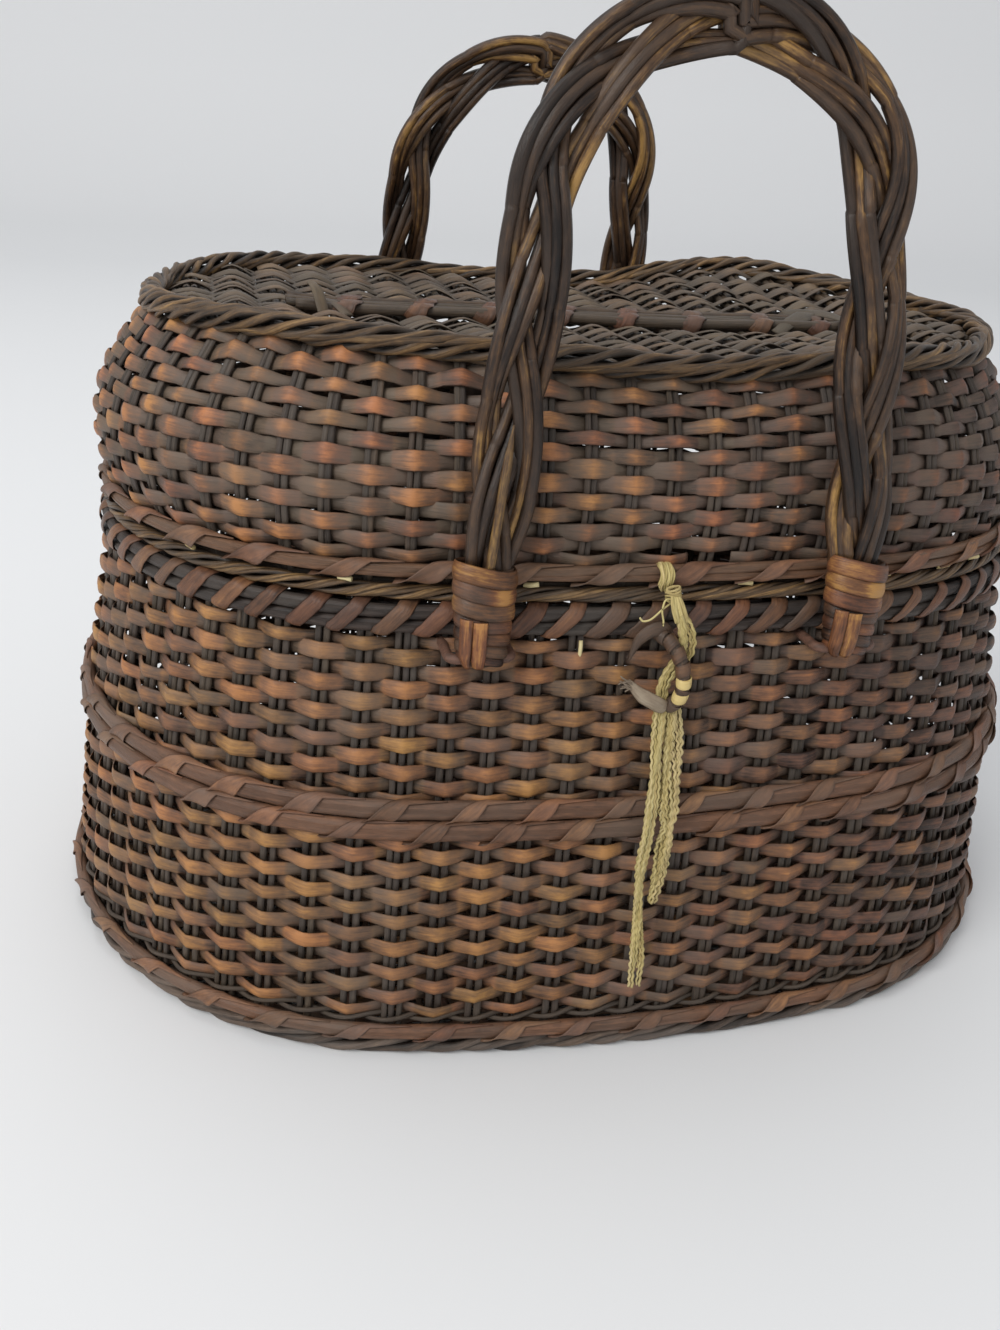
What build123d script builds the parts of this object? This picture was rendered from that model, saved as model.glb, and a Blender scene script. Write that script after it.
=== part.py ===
"""Lidded oval wicker hand basket: woven body and lid, cane hinge, two braided bail handles, cane clasp, string tie.

Millimetres. X is the long way of the basket, -Y is the front, +Z is up.
The origin is on the floor under the middle of the foot.
"""
from build123d import *
import os
from math import acos, asin, atan2, copysign, cos, degrees, pi, radians, sin, sqrt, tan

# ---------------------------------------------------------------- plan: an oval of four tangent arcs, taken at the rim
rim_half_length = 166.5
rim_half_depth = 112.0
end_radius = 108.0

# ---------------------------------------------------------------- body: how far its outer face stands outside the plan
foot_grow = 18.2
waist_grow = 9.3
waist_height = 84.5
wall_top = 140.9
wall_thickness = 2.2

# ---------------------------------------------------------------- lid: the same for its outer face
lid_foot_grow = -3.4
lid_belly_grow = -2.0
lid_shoulder_grow = -17.7
lid_belly_rise = 15.0
lid_wall_height = 56.5
lid_shoulder_power = 2.4
lid_shoulder_thickening = 0.55

# ---------------------------------------------------------------- canes and clearances
stake_radius = 1.3
stake_pairs_body = 48
stake_pairs_lid = 44
foot_border_radius = 3.2
foot_border_flat = 0.3
foot_hoop_radius = 2.1
waist_hoop_radius = 2.2
waist_hoop_pitch = 6.8
rim_hoop_radius = 2.0
lid_hoop_radius = 2.2
lid_hoop_lift = 2.2
lid_plait_radius = 2.3
lid_border_radius = 4.0
lid_border_inset = 1.0
lid_plait_overhang = 1.6
seat_gap = 0.2
stake_gap = 0.35
lid_stake_ease = 0.4
part_line_gap = 0.3

# ---------------------------------------------------------------- base
base_panel_thickness = 3.2
base_panel_lift = 2.2
base_stick_radius = 1.8
base_long_sticks = 3
base_cross_sticks = 9
base_long_pitch = 24.0
base_cross_pitch = 30.0

# ---------------------------------------------------------------- rim binding
binding_count = 40
binding_width = 5.0
binding_thickness = 0.9

# ---------------------------------------------------------------- lid top
top_panel_thickness = 2.4
top_panel_sink = 6.2
spine_sticks = 5
spine_stick_radius = 1.8
spine_stick_pitch = 3.9
spine_half_length = 104.0
spine_stagger = 5.0
spine_bands = 6
spine_band_pitch = 33.0
spine_band_width = 5.0
spine_band_thickness = 0.9

# ---------------------------------------------------------------- handles
handle_half_spacing = 56.7
grip_half_spacing = 46.5
handle_leg_reach = 124.0
front_lean = 5.0
back_lean = 15.0
front_standoff = 7.7
back_standoff = 11.8
pivot_bar_radius = 1.5
pivot_running_gap = 0.08
strand_radius = 2.35
braid_half_width = 5.6
braid_half_depth = 3.55
braid_turns = 4
braid_ease = 24.0
strand_points_per_turn = 12
strand_gather = 0.66
strand_foot = 15.0
cuff_width = 13.0
cuff_depth = 12.4
cuff_top = 28.0
cuff_shoulder = 9.0
cuff_eye_radius = 3.7
cuff_pocket_gap = 0.3
cuff_corner = 2.0
pocket_corner = 1.2

# ---------------------------------------------------------------- anchors and hinge
anchor_radius = pivot_bar_radius
anchor_corner = 2.6
anchor_side_gap = 1.2
hinge_bar_radius = 1.7
hinge_bar_half_length = 42.0
hinge_running_gap = 0.1
link_thickness = 1.5
link_width = 6.0
link_half_spacing = 28.3
hinge_height_over_wall = 16.1
lashing_thickness = 1.1
lashing_width = 4.0
lashing_half_spacing = 12.0

# ---------------------------------------------------------------- clasp and tie
clasp_radius = 2.1
clasp_low = 121.0
clasp_high = 138.5
clasp_reach = 10.5
clasp_turn = 28.0
clasp_wraps = 7
clasp_wrap_radius = 0.7
string_radius = 1.3
knot_radius = 2.6
knot_drop = 4.1
tie_slot_half_width = 9.0
tie_slot_height = 3.2
tie_x = -1.0

# ---------------------------------------------------------------- heights that follow from the above
foot_border_z = foot_border_radius - foot_border_flat
foot_top = foot_border_z + foot_border_radius
wall_bottom = foot_top + part_line_gap
binding_bottom = wall_top + seat_gap
rim_low_z = binding_bottom + binding_thickness + seat_gap + rim_hoop_radius
rim_high_z = rim_low_z + 2 * rim_hoop_radius + seat_gap
rim_top = rim_high_z + rim_hoop_radius
binding_top = rim_top + seat_gap + binding_thickness
lid_plait_z = binding_top + part_line_gap + lid_plait_radius
lid_wall_bottom = lid_plait_z + lid_plait_radius + seat_gap
lid_hoop_z = lid_wall_bottom + lid_hoop_radius + lid_hoop_lift
lid_wall_top = lid_wall_bottom + lid_wall_height
lid_belly_z = lid_wall_bottom + lid_belly_rise
lid_border_z = lid_wall_top + seat_gap + lid_border_radius
stake_inset = wall_thickness + stake_gap + stake_radius
pivot_z = wall_top - anchor_radius
hinge_z = wall_top + hinge_height_over_wall


# ================================================================ the plan oval and the ovals parallel to it
side_radius = (rim_half_length ** 2 + rim_half_depth ** 2 - 2 * rim_half_length * end_radius) / (
    2 * (rim_half_depth - end_radius))
end_centre = rim_half_length - end_radius
side_centre = side_radius - rim_half_depth
join_angle = atan2(side_centre, end_centre)


def oval_arcs():
    """Centre, radius, first angle and turn of the four arcs, from the +X end."""
    side_turn = pi - 2 * join_angle
    return [
        (end_centre, 0.0, end_radius, -join_angle, 2 * join_angle),
        (0.0, -side_centre, side_radius, join_angle, side_turn),
        (-end_centre, 0.0, end_radius, pi - join_angle, 2 * join_angle),
        (0.0, side_centre, side_radius, pi + join_angle, side_turn),
    ]


def oval_point(grow, angle):
    """Point of the oval that stands outside the plan by grow, where its outward normal has this angle."""
    for cx, cy, radius, start, turn in oval_arcs():
        if (angle - start) % (2 * pi) <= turn + 1e-9:
            return cx + (radius + grow) * cos(angle), cy + (radius + grow) * sin(angle)


def oval_depth(grow, x):
    """Distance of the oval's long side from the middle line, at x."""
    if abs(x) <= (side_radius + grow) * cos(join_angle):
        return sqrt((side_radius + grow) ** 2 - x * x) - side_centre
    return sqrt((end_radius + grow) ** 2 - (abs(x) - end_centre) ** 2)


def oval_reach(grow, y):
    """Distance of the oval's end from the middle, at a small y."""
    return end_centre + sqrt((end_radius + grow) ** 2 - y * y)


def even_angles(count, shift=0.0):
    """Normal angles that space points evenly round the plan, the first at the +X end."""
    arcs = oval_arcs()
    whole = sum(radius * turn for cx, cy, radius, start, turn in arcs)
    angles = []
    for k in range(count):
        run = (k + shift) * whole / count + end_radius * join_angle
        for cx, cy, radius, start, turn in arcs + arcs:
            if run <= radius * turn:
                angles.append(start + run / radius)
                break
            run -= radius * turn
    return angles


def body_grow(z):
    """How far the body's outer face stands outside the plan at a height; above the wall it stays upright."""
    if z >= wall_top:
        return 0.0
    foot_share = (z - waist_height) * (z - wall_top) / (waist_height * wall_top)
    waist_share = z * (z - wall_top) / (waist_height * (waist_height - wall_top))
    return foot_grow * foot_share + waist_grow * waist_share


def lid_grow(z):
    """The same for the lid: it swells to its belly, then rolls in to the shoulder under the top border."""
    if z < lid_belly_z:
        return lid_belly_grow + (lid_foot_grow - lid_belly_grow) * ((lid_belly_z - z) / lid_belly_rise) ** 2
    share = (z - lid_belly_z) / (lid_wall_top - lid_belly_z)
    return lid_belly_grow + (lid_shoulder_grow - lid_belly_grow) * share ** lid_shoulder_power


# ================================================================ general pieces
def oval_solid(section):
    """A section carried round the oval; its X is the distance outside the plan and its Y the height."""
    pieces = []
    for cx, cy, radius, start, turn in oval_arcs():
        frame = Plane(origin=(cx, cy, 0), x_dir=(cos(start), sin(start), 0), z_dir=(sin(start), -cos(start), 0))
        pieces.append(revolve(frame * Pos(radius, 0) * section, Axis((cx, cy, 0), (0, 0, 1)), degrees(turn)))
    return pieces[0].fuse(*pieces[1:])


def hoop(grow, z, radius):
    """Round cane bent into a closed oval."""
    return oval_solid(Pos(grow, z) * Circle(radius))


def shell(grow_at, thickness_at, heights):
    """Woven wall between its outer and inner faces."""
    outer = [(grow_at(z), z) for z in heights]
    inner = [(grow_at(z) - thickness_at(z), z) for z in reversed(heights)]
    return oval_solid(make_face(Polyline(*outer, *inner, close=True)))


def spaced(low, high, count):
    """Evenly spaced heights from low to high."""
    return [low + (high - low) * k / (count - 1) for k in range(count)]


def oval_disc(grow, z, thickness):
    arcs = [CenterArc((cx, cy, z), radius + grow, degrees(start), degrees(turn))
            for cx, cy, radius, start, turn in oval_arcs()]
    return extrude(make_face(arcs), thickness, dir=(0, 0, 1))


def wall_stake(grow_at, angle, heights):
    """One upright cane that follows the inside of a wall."""
    return round_tube([(*oval_point(grow_at(z), angle), z) for z in heights], stake_radius)


def rod_x(length, radius, x=0.0, y=0.0, z=0.0):
    """Round stick along X."""
    return Pos(x, y, z) * Rot(0, 90, 0) * Cylinder(radius, length)


def rod_y(length, radius, x=0.0, y=0.0, z=0.0):
    """Round stick along Y."""
    return Pos(x, y, z) * Rot(90, 0, 0) * Cylinder(radius, length)


def stadium_band(x, first, second, inner_radius, thickness, width):
    """Flat cane band round two parallel bars; first and second are their (y, z) centres."""
    dy, dz = second[0] - first[0], second[1] - first[1]
    span = sqrt(dy * dy + dz * dz)
    frame = Plane(origin=(x - width / 2, (first[0] + second[0]) / 2, (first[1] + second[1]) / 2),
                  x_dir=(0, dy, dz), z_dir=(1, 0, 0))
    outer = SlotCenterToCenter(span, 2 * (inner_radius + thickness))
    inner = SlotCenterToCenter(span, 2 * inner_radius)
    return extrude(frame * (outer - inner), width, dir=(1, 0, 0))


def corner_radii(points):
    """Radii of the tangent arcs at a route's corners, as large as its runs allow."""
    line = [Vector(*p) for p in points]
    radii = []
    for before, here, after in zip(line, line[1:], line[2:]):
        turn = radians((here - before).get_angle(after - here))
        radii.append(0.45 * min((here - before).length, (after - here).length) / tan(turn / 2))
    return radii


def round_tube(points, radius):
    """Round cane or cord: straight runs joined by tangent arcs."""
    path = FilletPolyline(*[Vector(*p) for p in points], radius=corner_radii(points))
    return sweep(Plane(origin=path @ 0, z_dir=path % 0) * Circle(radius), path=path)


# ================================================================ base and foot
def make_foot_border():
    section = Circle(foot_border_radius) - Pos(0, -foot_border_z - foot_border_radius) * Rectangle(
        4 * foot_border_radius, 2 * foot_border_radius)
    return oval_solid(Pos(foot_grow, foot_border_z) * section)


def make_foot_hoop():
    z = foot_top + 0.4 + foot_hoop_radius
    return hoop(body_grow(z) + seat_gap + foot_hoop_radius, z, foot_hoop_radius)


base_top = base_panel_lift + base_panel_thickness
long_stick_z = base_top + seat_gap + base_stick_radius
cross_stick_z = long_stick_z + 2 * base_stick_radius + seat_gap


def make_base_panel():
    return oval_disc(foot_grow - foot_border_radius - part_line_gap, base_panel_lift, base_panel_thickness)


def inner_grow(z):
    """The oval just inside the body stakes."""
    return body_grow(z) - stake_inset - stake_radius - part_line_gap


def make_base_long_sticks():
    sticks = []
    for k in range(base_long_sticks):
        y = (k - (base_long_sticks - 1) / 2) * base_long_pitch
        reach = oval_reach(inner_grow(long_stick_z), abs(y) + base_stick_radius) - part_line_gap
        sticks.append(rod_x(2 * reach, base_stick_radius, y=y, z=long_stick_z))
    return sticks


def make_base_cross_sticks():
    sticks = []
    for k in range(base_cross_sticks):
        x = (k - (base_cross_sticks - 1) / 2) * base_cross_pitch
        reach = oval_depth(inner_grow(cross_stick_z), abs(x) + base_stick_radius) - part_line_gap
        sticks.append(rod_y(2 * reach, base_stick_radius, x=x, z=cross_stick_z))
    return sticks


# ================================================================ body walls, stakes, hoops
def prong_places():
    """X of every cane prong that passes through the wall under the rim, front and back."""
    handle = cuff_width / 2 + anchor_side_gap + anchor_radius
    hinge = link_width / 2 + anchor_side_gap + anchor_radius
    front, back = [], []
    for side in (-1, 1):
        for way in (-1, 1):
            front.append(side * handle_half_spacing + way * handle)
            back.append(side * handle_half_spacing + way * handle)
            back.append(side * link_half_spacing + way * hinge)
    return front, back


def stake_angle(angle):
    """A stake that would meet a prong stands aside of it."""
    x, y = oval_point(-stake_inset, angle)
    clear = stake_radius + anchor_radius + seat_gap
    for place in prong_places()[0 if y < 0 else 1]:
        if abs(x - place) < clear and abs(y) > rim_half_depth / 2:
            aside = place + copysign(clear, x - place)
            return copysign(acos(aside / (side_radius - stake_inset)), y)
    return angle


lower_heights = spaced(wall_bottom, waist_height - seat_gap / 2, 3)
upper_heights = spaced(waist_height + seat_gap / 2, wall_top, 3)


def make_wall(heights):
    return shell(body_grow, lambda z: wall_thickness, heights)


def wall_notches():
    """Slots in the top edge of the wall where the prongs pass through."""
    front, back = prong_places()
    slot = 2 * (anchor_radius + seat_gap)
    notches = []
    for side, places in ((-1, front), (1, back)):
        for x in places:
            y = side * oval_depth(body_grow(pivot_z), x)
            low = pivot_z - anchor_radius - seat_gap
            tall = wall_top - low + 1
            notches.append(Pos(x, y, low + tall / 2) * Box(slot, 10 * wall_thickness, tall))
    return notches


def make_lower_wall():
    return make_wall(lower_heights)


def make_upper_wall():
    return make_wall(upper_heights) - wall_notches() - clasp_ends()


def make_body_stakes():
    heights = [base_top + part_line_gap, lower_heights[1], waist_height, upper_heights[1], wall_top, rim_top]
    stakes = []
    for angle in even_angles(stake_pairs_body):
        stakes.append(wall_stake(lambda z: body_grow(z) - stake_inset, stake_angle(angle), heights))
    return stakes


def make_waist_hoop(side):
    z = waist_height + side * waist_hoop_pitch / 2
    return hoop(body_grow(z) + seat_gap + waist_hoop_radius, z, waist_hoop_radius)


# ---------------------------------------------------------------- rim
stake_outer = stake_inset - stake_radius
rim_outer_grow = seat_gap + rim_hoop_radius - stake_outer
rim_inner_grow = -(stake_inset + stake_radius + seat_gap + rim_hoop_radius)
rim_face_grow = rim_outer_grow + rim_hoop_radius + seat_gap + binding_thickness
rim_back_grow = rim_inner_grow - rim_hoop_radius - seat_gap - binding_thickness


def make_rim_hoop(z, grow):
    return hoop(grow, z, rim_hoop_radius)


def make_rim_binding():
    """Flat cane bands round the rim's hoops, each between two stakes."""
    width = rim_face_grow - rim_back_grow
    height = binding_top - binding_bottom
    stakes = even_angles(stake_pairs_body, 0.5)
    bands = []
    for k in range(binding_count):
        angle = stakes[int(k * stake_pairs_body / binding_count)]
        x, y = oval_point((rim_face_grow + rim_back_grow) / 2, angle)
        frame = Plane(origin=(x, y, (binding_top + binding_bottom) / 2),
                      x_dir=(cos(angle), sin(angle), 0), z_dir=(-sin(angle), cos(angle), 0))
        ring = Rectangle(width, height) - Rectangle(width - 2 * binding_thickness, height - 2 * binding_thickness)
        bands.append(extrude(frame * ring, binding_width / 2, both=True))
    return bands


# ================================================================ anchors, handles
def anchor_ring(x, side, half_width, outer_y):
    """Closed cane ring that passes through the wall under the rim; its outer bar is the pivot."""
    inner = oval_depth(body_grow(pivot_z) - stake_inset, x) - stake_radius - part_line_gap - anchor_radius

    corners = [(x - half_width, side * outer_y, pivot_z), (x + half_width, side * outer_y, pivot_z),
               (x + half_width, side * inner, pivot_z), (x - half_width, side * inner, pivot_z)]
    path = FilletPolyline(*corners, radius=anchor_corner, close=True)
    start = Plane(origin=path @ 0, z_dir=path % 0)
    return sweep(start * Circle(anchor_radius), path=path)


def pivot_y(side):
    """Distance of a handle's pivots from the middle plane."""
    standoff = front_standoff if side < 0 else back_standoff
    return oval_depth(rim_face_grow, handle_half_spacing - cuff_width / 2) + standoff


def make_handle_anchors(side):
    half = cuff_width / 2 + anchor_side_gap + anchor_radius
    return [anchor_ring(way * handle_half_spacing, side, half, pivot_y(side)) for way in (-1, 1)]


def arch_point(run, leg, slope_x, arch_radius, arch_turn):
    """Point and sideways normal of the handle's centre line at a run from its left foot (x, z, nx, nz)."""
    arch = arch_radius * arch_turn
    if run > leg + arch / 2:
        x, z, nx, nz = arch_point(2 * leg + arch - run, leg, slope_x, arch_radius, arch_turn)
        return -x, z, -nx, nz
    if run <= leg:
        rise = sqrt(1 - slope_x ** 2)
        return -handle_half_spacing + slope_x * run, strand_foot + rise * run, rise, -slope_x
    start = pi / 2 + arch_turn / 2
    turned = start - (run - leg) / arch_radius
    top_x = -handle_half_spacing + slope_x * leg
    top_z = strand_foot + sqrt(1 - slope_x ** 2) * leg
    centre_z = top_z - arch_radius * sin(start)
    centre_x = top_x - arch_radius * cos(start)
    return centre_x + arch_radius * cos(turned), centre_z + arch_radius * sin(turned), -cos(turned), -sin(turned)


def handle_centre_line():
    """Straight leg, its sideways slope, and the radius, turn and whole run of the handle's arch."""
    drop_in = handle_half_spacing - grip_half_spacing
    leg = sqrt((handle_leg_reach - strand_foot) ** 2 + drop_in ** 2)
    slope_x = drop_in / leg
    arch_turn = pi - 2 * asin(slope_x)
    arch_radius = grip_half_spacing / sin(arch_turn / 2)
    return leg, slope_x, arch_radius, arch_turn, 2 * leg + arch_radius * arch_turn


def braid_turn(run, span):
    """How far the braid has turned at a run: it starts and ends gently."""
    edge = min(run, span - run)
    eased = edge * edge / (2 * braid_ease) if edge < braid_ease else edge - braid_ease / 2
    eased = eased if run <= span / 2 else span - braid_ease - eased
    return 2 * pi * braid_turns * eased / (span - braid_ease)


def handle_strand(phase):
    """One of the three round strands of the braid, in the handle's own frame with its pivot at the origin."""
    leg, slope_x, arch_radius, arch_turn, total = handle_centre_line()
    straight = cuff_top - strand_foot - cuff_pocket_gap
    span = total - 2 * straight
    count = strand_points_per_turn * braid_turns

    def place(run, turn, spread):
        across = spread * braid_half_width * sin(turn)
        x, z, nx, nz = arch_point(run, leg, slope_x, arch_radius, arch_turn)
        return x + across * nx, braid_half_depth * sin(2 * turn), z + across * nz

    first = phase + pi / 6
    line = [place(0.0, first, strand_gather)]
    for k in range(count + 1):
        run = span * k / count
        spread = strand_gather + (1 - strand_gather) * min(1.0, min(run, span - run) / braid_ease)
        line.append(place(straight + run, first + braid_turn(run, span), spread))
    line.append(place(total, first + braid_turn(span, span), strand_gather))
    return round_tube(line, strand_radius)


def handle_cuff():
    """Wrapped cuff: a pocket for the strand ends above, an eye for the pivot bar below."""
    half = cuff_depth / 2
    side = Polyline((-cuff_eye_radius, 0), (-half, cuff_shoulder), (-half, cuff_top), (half, cuff_top),
                    (half, cuff_shoulder), (cuff_eye_radius, 0), close=True)
    frame = Plane(origin=(-cuff_width / 2, 0, 0), x_dir=(0, 1, 0), z_dir=(1, 0, 0))
    body = extrude(frame * make_face(side), cuff_width, dir=(1, 0, 0))
    uprights = body.edges().filter_by(Axis.Z)
    body = fillet(uprights, cuff_corner)
    body = body + rod_x(cuff_width, cuff_eye_radius)
    body = body - rod_x(2 * cuff_width, pivot_bar_radius + pivot_running_gap)
    pocket_width = 2 * (strand_gather * braid_half_width + strand_radius + cuff_pocket_gap)
    pocket_depth = 2 * (braid_half_depth * sin(pi / 3) + strand_radius + cuff_pocket_gap)
    pocket = Pos(0, 0, strand_foot - cuff_pocket_gap) * extrude(
        RectangleRounded(pocket_width, pocket_depth, pocket_corner), cuff_top)
    return body - pocket


def make_cuff(side, way):
    return handle_place(side) * Pos(way * handle_half_spacing, 0, 0) * handle_cuff()


def handle_place(side):
    """Where a handle's own frame sits: on its pivots, leaning in over the lid."""
    lean = front_lean if side < 0 else back_lean
    return Pos(0, side * pivot_y(side), pivot_z) * Rot(side * lean, 0, 0)


def make_strand(side, number):
    return handle_place(side) * handle_strand(2 * pi * number / 3)


def hinge_y():
    return rim_half_depth + rim_face_grow + part_line_gap + link_thickness + hinge_running_gap + hinge_bar_radius


def make_hinge_anchors():
    half = link_width / 2 + anchor_side_gap + anchor_radius
    return [anchor_ring(way * link_half_spacing, 1, half, hinge_y()) for way in (-1, 1)]


def make_hinge_links():
    low, high = (hinge_y(), pivot_z), (hinge_y(), hinge_z)
    return [stadium_band(way * link_half_spacing, low, high, hinge_bar_radius + hinge_running_gap,
                         link_thickness, link_width) for way in (-1, 1)]


def make_hinge_bar():
    return rod_x(2 * hinge_bar_half_length, hinge_bar_radius, y=hinge_y(), z=hinge_z)


def lashing_band(x, extra=0.0):
    rod_place = oval_depth(lid_hoop_grow, abs(x))
    return stadium_band(x, (hinge_y(), hinge_z), (rod_place, lid_hoop_z), lid_hoop_radius + seat_gap - extra,
                        lashing_thickness + 2 * extra, lashing_width + 2 * extra)


def make_hinge_lashings():
    return [lashing_band(way * lashing_half_spacing) for way in (-1, 1)]


# ================================================================ lid
lid_hoop_grow = lid_grow(lid_hoop_z) + seat_gap + lid_hoop_radius
lid_heights = spaced(lid_wall_bottom, lid_belly_z, 3) + spaced(lid_belly_z, lid_wall_top, 6)[1:]


def lid_thickness(z):
    """Measured level, the wall is thicker where it rolls in."""
    share = max(0.0, (z - lid_belly_z) / (lid_wall_top - lid_belly_z))
    return wall_thickness * (1 + lid_shoulder_thickening * share ** 2)


def make_lid_wall():
    wall = shell(lid_grow, lid_thickness, lid_heights)
    for way in (-1, 1):
        wall = wall - lashing_band(way * lashing_half_spacing, seat_gap)
    y = -oval_depth(lid_grow(lid_hoop_z), 0)
    slot_low = lid_hoop_z + lid_hoop_radius
    slot = Pos(0, y, slot_low + tie_slot_height / 2) * Box(2 * tie_slot_half_width, 12, tie_slot_height)
    lane_height = slot_low + tie_slot_height - lid_wall_bottom + 1
    lane = Pos(tie_x, y, lid_wall_bottom - 1 + lane_height / 2) * Box(2 * string_radius + 0.8, 12, lane_height)
    return wall - slot - lane


def make_lid_stakes():
    def middle(z):
        return lid_grow(z) - lid_thickness(z) - stake_gap - stake_radius - lid_stake_ease

    heights = [lid_wall_bottom + seat_gap] + lid_heights[1:-1] + [lid_wall_top - 3.0]
    return [wall_stake(middle, angle, heights) for angle in even_angles(stake_pairs_lid, 0.5)]


def make_lid_hoop():
    return hoop(lid_hoop_grow, lid_hoop_z, lid_hoop_radius)


def make_lid_plait():
    return hoop(lid_foot_grow + lid_plait_overhang, lid_plait_z, lid_plait_radius)


top_grow = lid_shoulder_grow - lid_border_inset


def make_lid_border():
    return hoop(top_grow, lid_border_z, lid_border_radius)


top_panel_z = lid_border_z + lid_border_radius - top_panel_sink - top_panel_thickness
spine_low = top_panel_z + top_panel_thickness + seat_gap
spine_z = spine_low + spine_band_thickness + seat_gap / 2 + spine_stick_radius


def make_top_panel():
    return oval_disc(top_grow - lid_border_radius - part_line_gap, top_panel_z, top_panel_thickness)


def make_spine_sticks():
    sticks = []
    for k in range(spine_sticks):
        shift = spine_stagger * (k % 2)
        y = (k - (spine_sticks - 1) / 2) * spine_stick_pitch
        sticks.append(rod_x(2 * spine_half_length - shift, spine_stick_radius, x=shift / 2, y=y, z=spine_z))
    return sticks


def make_spine_bands():
    inside = (spine_sticks - 1) * spine_stick_pitch + 2 * spine_stick_radius + seat_gap
    tall = 2 * spine_stick_radius + seat_gap
    ring = Rectangle(inside + 2 * spine_band_thickness, tall + 2 * spine_band_thickness) - Rectangle(inside, tall)
    bands = []
    for k in range(spine_bands):
        x = (k - (spine_bands - 1) / 2) * spine_band_pitch
        frame = Plane(origin=(x, 0, spine_z), x_dir=(0, 1, 0), z_dir=(1, 0, 0))
        bands.append(extrude(frame * ring, spine_band_width / 2, both=True))
    return bands


# ================================================================ clasp and tie
def clasp_curve():
    """Half loop that stands off the front of the upper wall, turned a little to the right."""
    low = Vector(0, -oval_depth(body_grow(clasp_low), 0) + wall_thickness / 2, clasp_low)
    high = Vector(0, -oval_depth(body_grow(clasp_high), 0) + wall_thickness / 2, clasp_high)

    out = Vector(sin(radians(clasp_turn)), -cos(radians(clasp_turn)), 0)
    middle = (low + high) / 2 + out * clasp_reach
    return Wire([Edge.make_three_point_arc(low, middle, high)])


def clasp_tube(radius):
    path = clasp_curve()
    return sweep(Plane(origin=path @ 0, z_dir=path % 0) * Circle(radius), path=path)


def clasp_ends():
    """The holes in the wall for the loop's ends."""
    return clasp_tube(clasp_radius + seat_gap)


def make_clasp_wraps():
    path = clasp_curve()
    wraps = []
    for k in range(clasp_wraps):
        place = 0.3 + 0.4 * k / (clasp_wraps - 1)
        frame = Plane(origin=path @ place, z_dir=path % place)
        wraps.append(frame * Torus(clasp_radius + seat_gap / 2 + clasp_wrap_radius, clasp_wrap_radius))
    return wraps


def make_tie_knot():
    """String looped round the lid's rod through the gap above it, and knotted in front of it."""
    rod = -oval_depth(lid_hoop_grow, 0)
    major = lid_hoop_radius + seat_gap / 2 + string_radius * 0.9
    loop = Pos(tie_x, rod, lid_hoop_z) * Rot(0, 90, 0) * Torus(major, string_radius * 0.9)
    knot = Pos(tie_x + 1.0, rod - major - 1.4, lid_hoop_z - knot_drop) * Sphere(knot_radius)
    return loop + knot


left_tail_route = [
    (0.7, -120.2, 153.4), (1.2, -121.2, 146.0), (-0.4, -121.4, 137.5), (-1.6, -121.6, 128.0), (-2.2, -122.6, 116.0),
    (-2.6, -125.0, 104.0), (-3.0, -128.6, 93.0), (-3.2, -130.8, 80.0), (-2.4, -130.4, 66.0), (-1.0, -131.8, 52.0),
    (0.3, -133.0, 38.0), (1.6, -134.4, 27.0),
]
right_tail_route = [
    (6.2, -121.8, 122.0), (5.6, -122.8, 114.0), (5.0, -125.2, 104.0), (5.4, -128.6, 93.5), (5.2, -131.0, 81.0),
    (4.6, -130.6, 68.5), (3.2, -131.6, 57.0),
]


def make_left_tail():
    return round_tube(left_tail_route, string_radius)


def make_right_tail():
    return round_tube(right_tail_route, string_radius)


# ================================================================ every node
def all_parts():
    parts = {
        "base_panel": [make_base_panel()],
        "base_long_sticks": make_base_long_sticks(),
        "base_cross_sticks": make_base_cross_sticks(),
        "foot_border": [make_foot_border()],
        "foot_hoop": [make_foot_hoop()],
        "lower_wall": [make_lower_wall()],
        "upper_wall": [make_upper_wall()],
        "body_stakes": make_body_stakes(),
        "waist_hoop_lower": [make_waist_hoop(-1)],
        "waist_hoop_upper": [make_waist_hoop(1)],
        "rim_hoop_lower": [make_rim_hoop(rim_low_z, rim_outer_grow)],
        "rim_hoop_upper": [make_rim_hoop(rim_high_z, rim_outer_grow)],
        "rim_hoop_inner": [make_rim_hoop((rim_low_z + rim_high_z) / 2, rim_inner_grow)],
        "rim_binding": make_rim_binding(),
        "front_handle_anchors": make_handle_anchors(-1),
        "back_handle_anchors": make_handle_anchors(1),
        "hinge_anchors": make_hinge_anchors(),
        "hinge_links": make_hinge_links(),
        "clasp_loop": [clasp_tube(clasp_radius)],
        "clasp_wraps": make_clasp_wraps(),
        "lid_wall": [make_lid_wall()],
        "lid_stakes": make_lid_stakes(),
        "lid_rim_hoop": [make_lid_hoop()],
        "lid_lower_plait": [make_lid_plait()],
        "lid_top_border": [make_lid_border()],
        "lid_top_panel": [make_top_panel()],
        "lid_spine_sticks": make_spine_sticks(),
        "lid_spine_bands": make_spine_bands(),
        "hinge_bar": [make_hinge_bar()],
        "hinge_lashings": make_hinge_lashings(),
        "tie_knot": [make_tie_knot()],
        "tie_left_tail": [make_left_tail()],
        "tie_right_tail": [make_right_tail()],
    }
    for side, name in ((-1, "front"), (1, "back")):
        for number, letter in enumerate("abc"):
            parts[f"{name}_handle_strand_{letter}"] = [make_strand(side, number)]
        parts[f"{name}_handle_left_cuff"] = [make_cuff(side, -1)]
        parts[f"{name}_handle_right_cuff"] = [make_cuff(side, 1)]
    return parts


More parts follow.
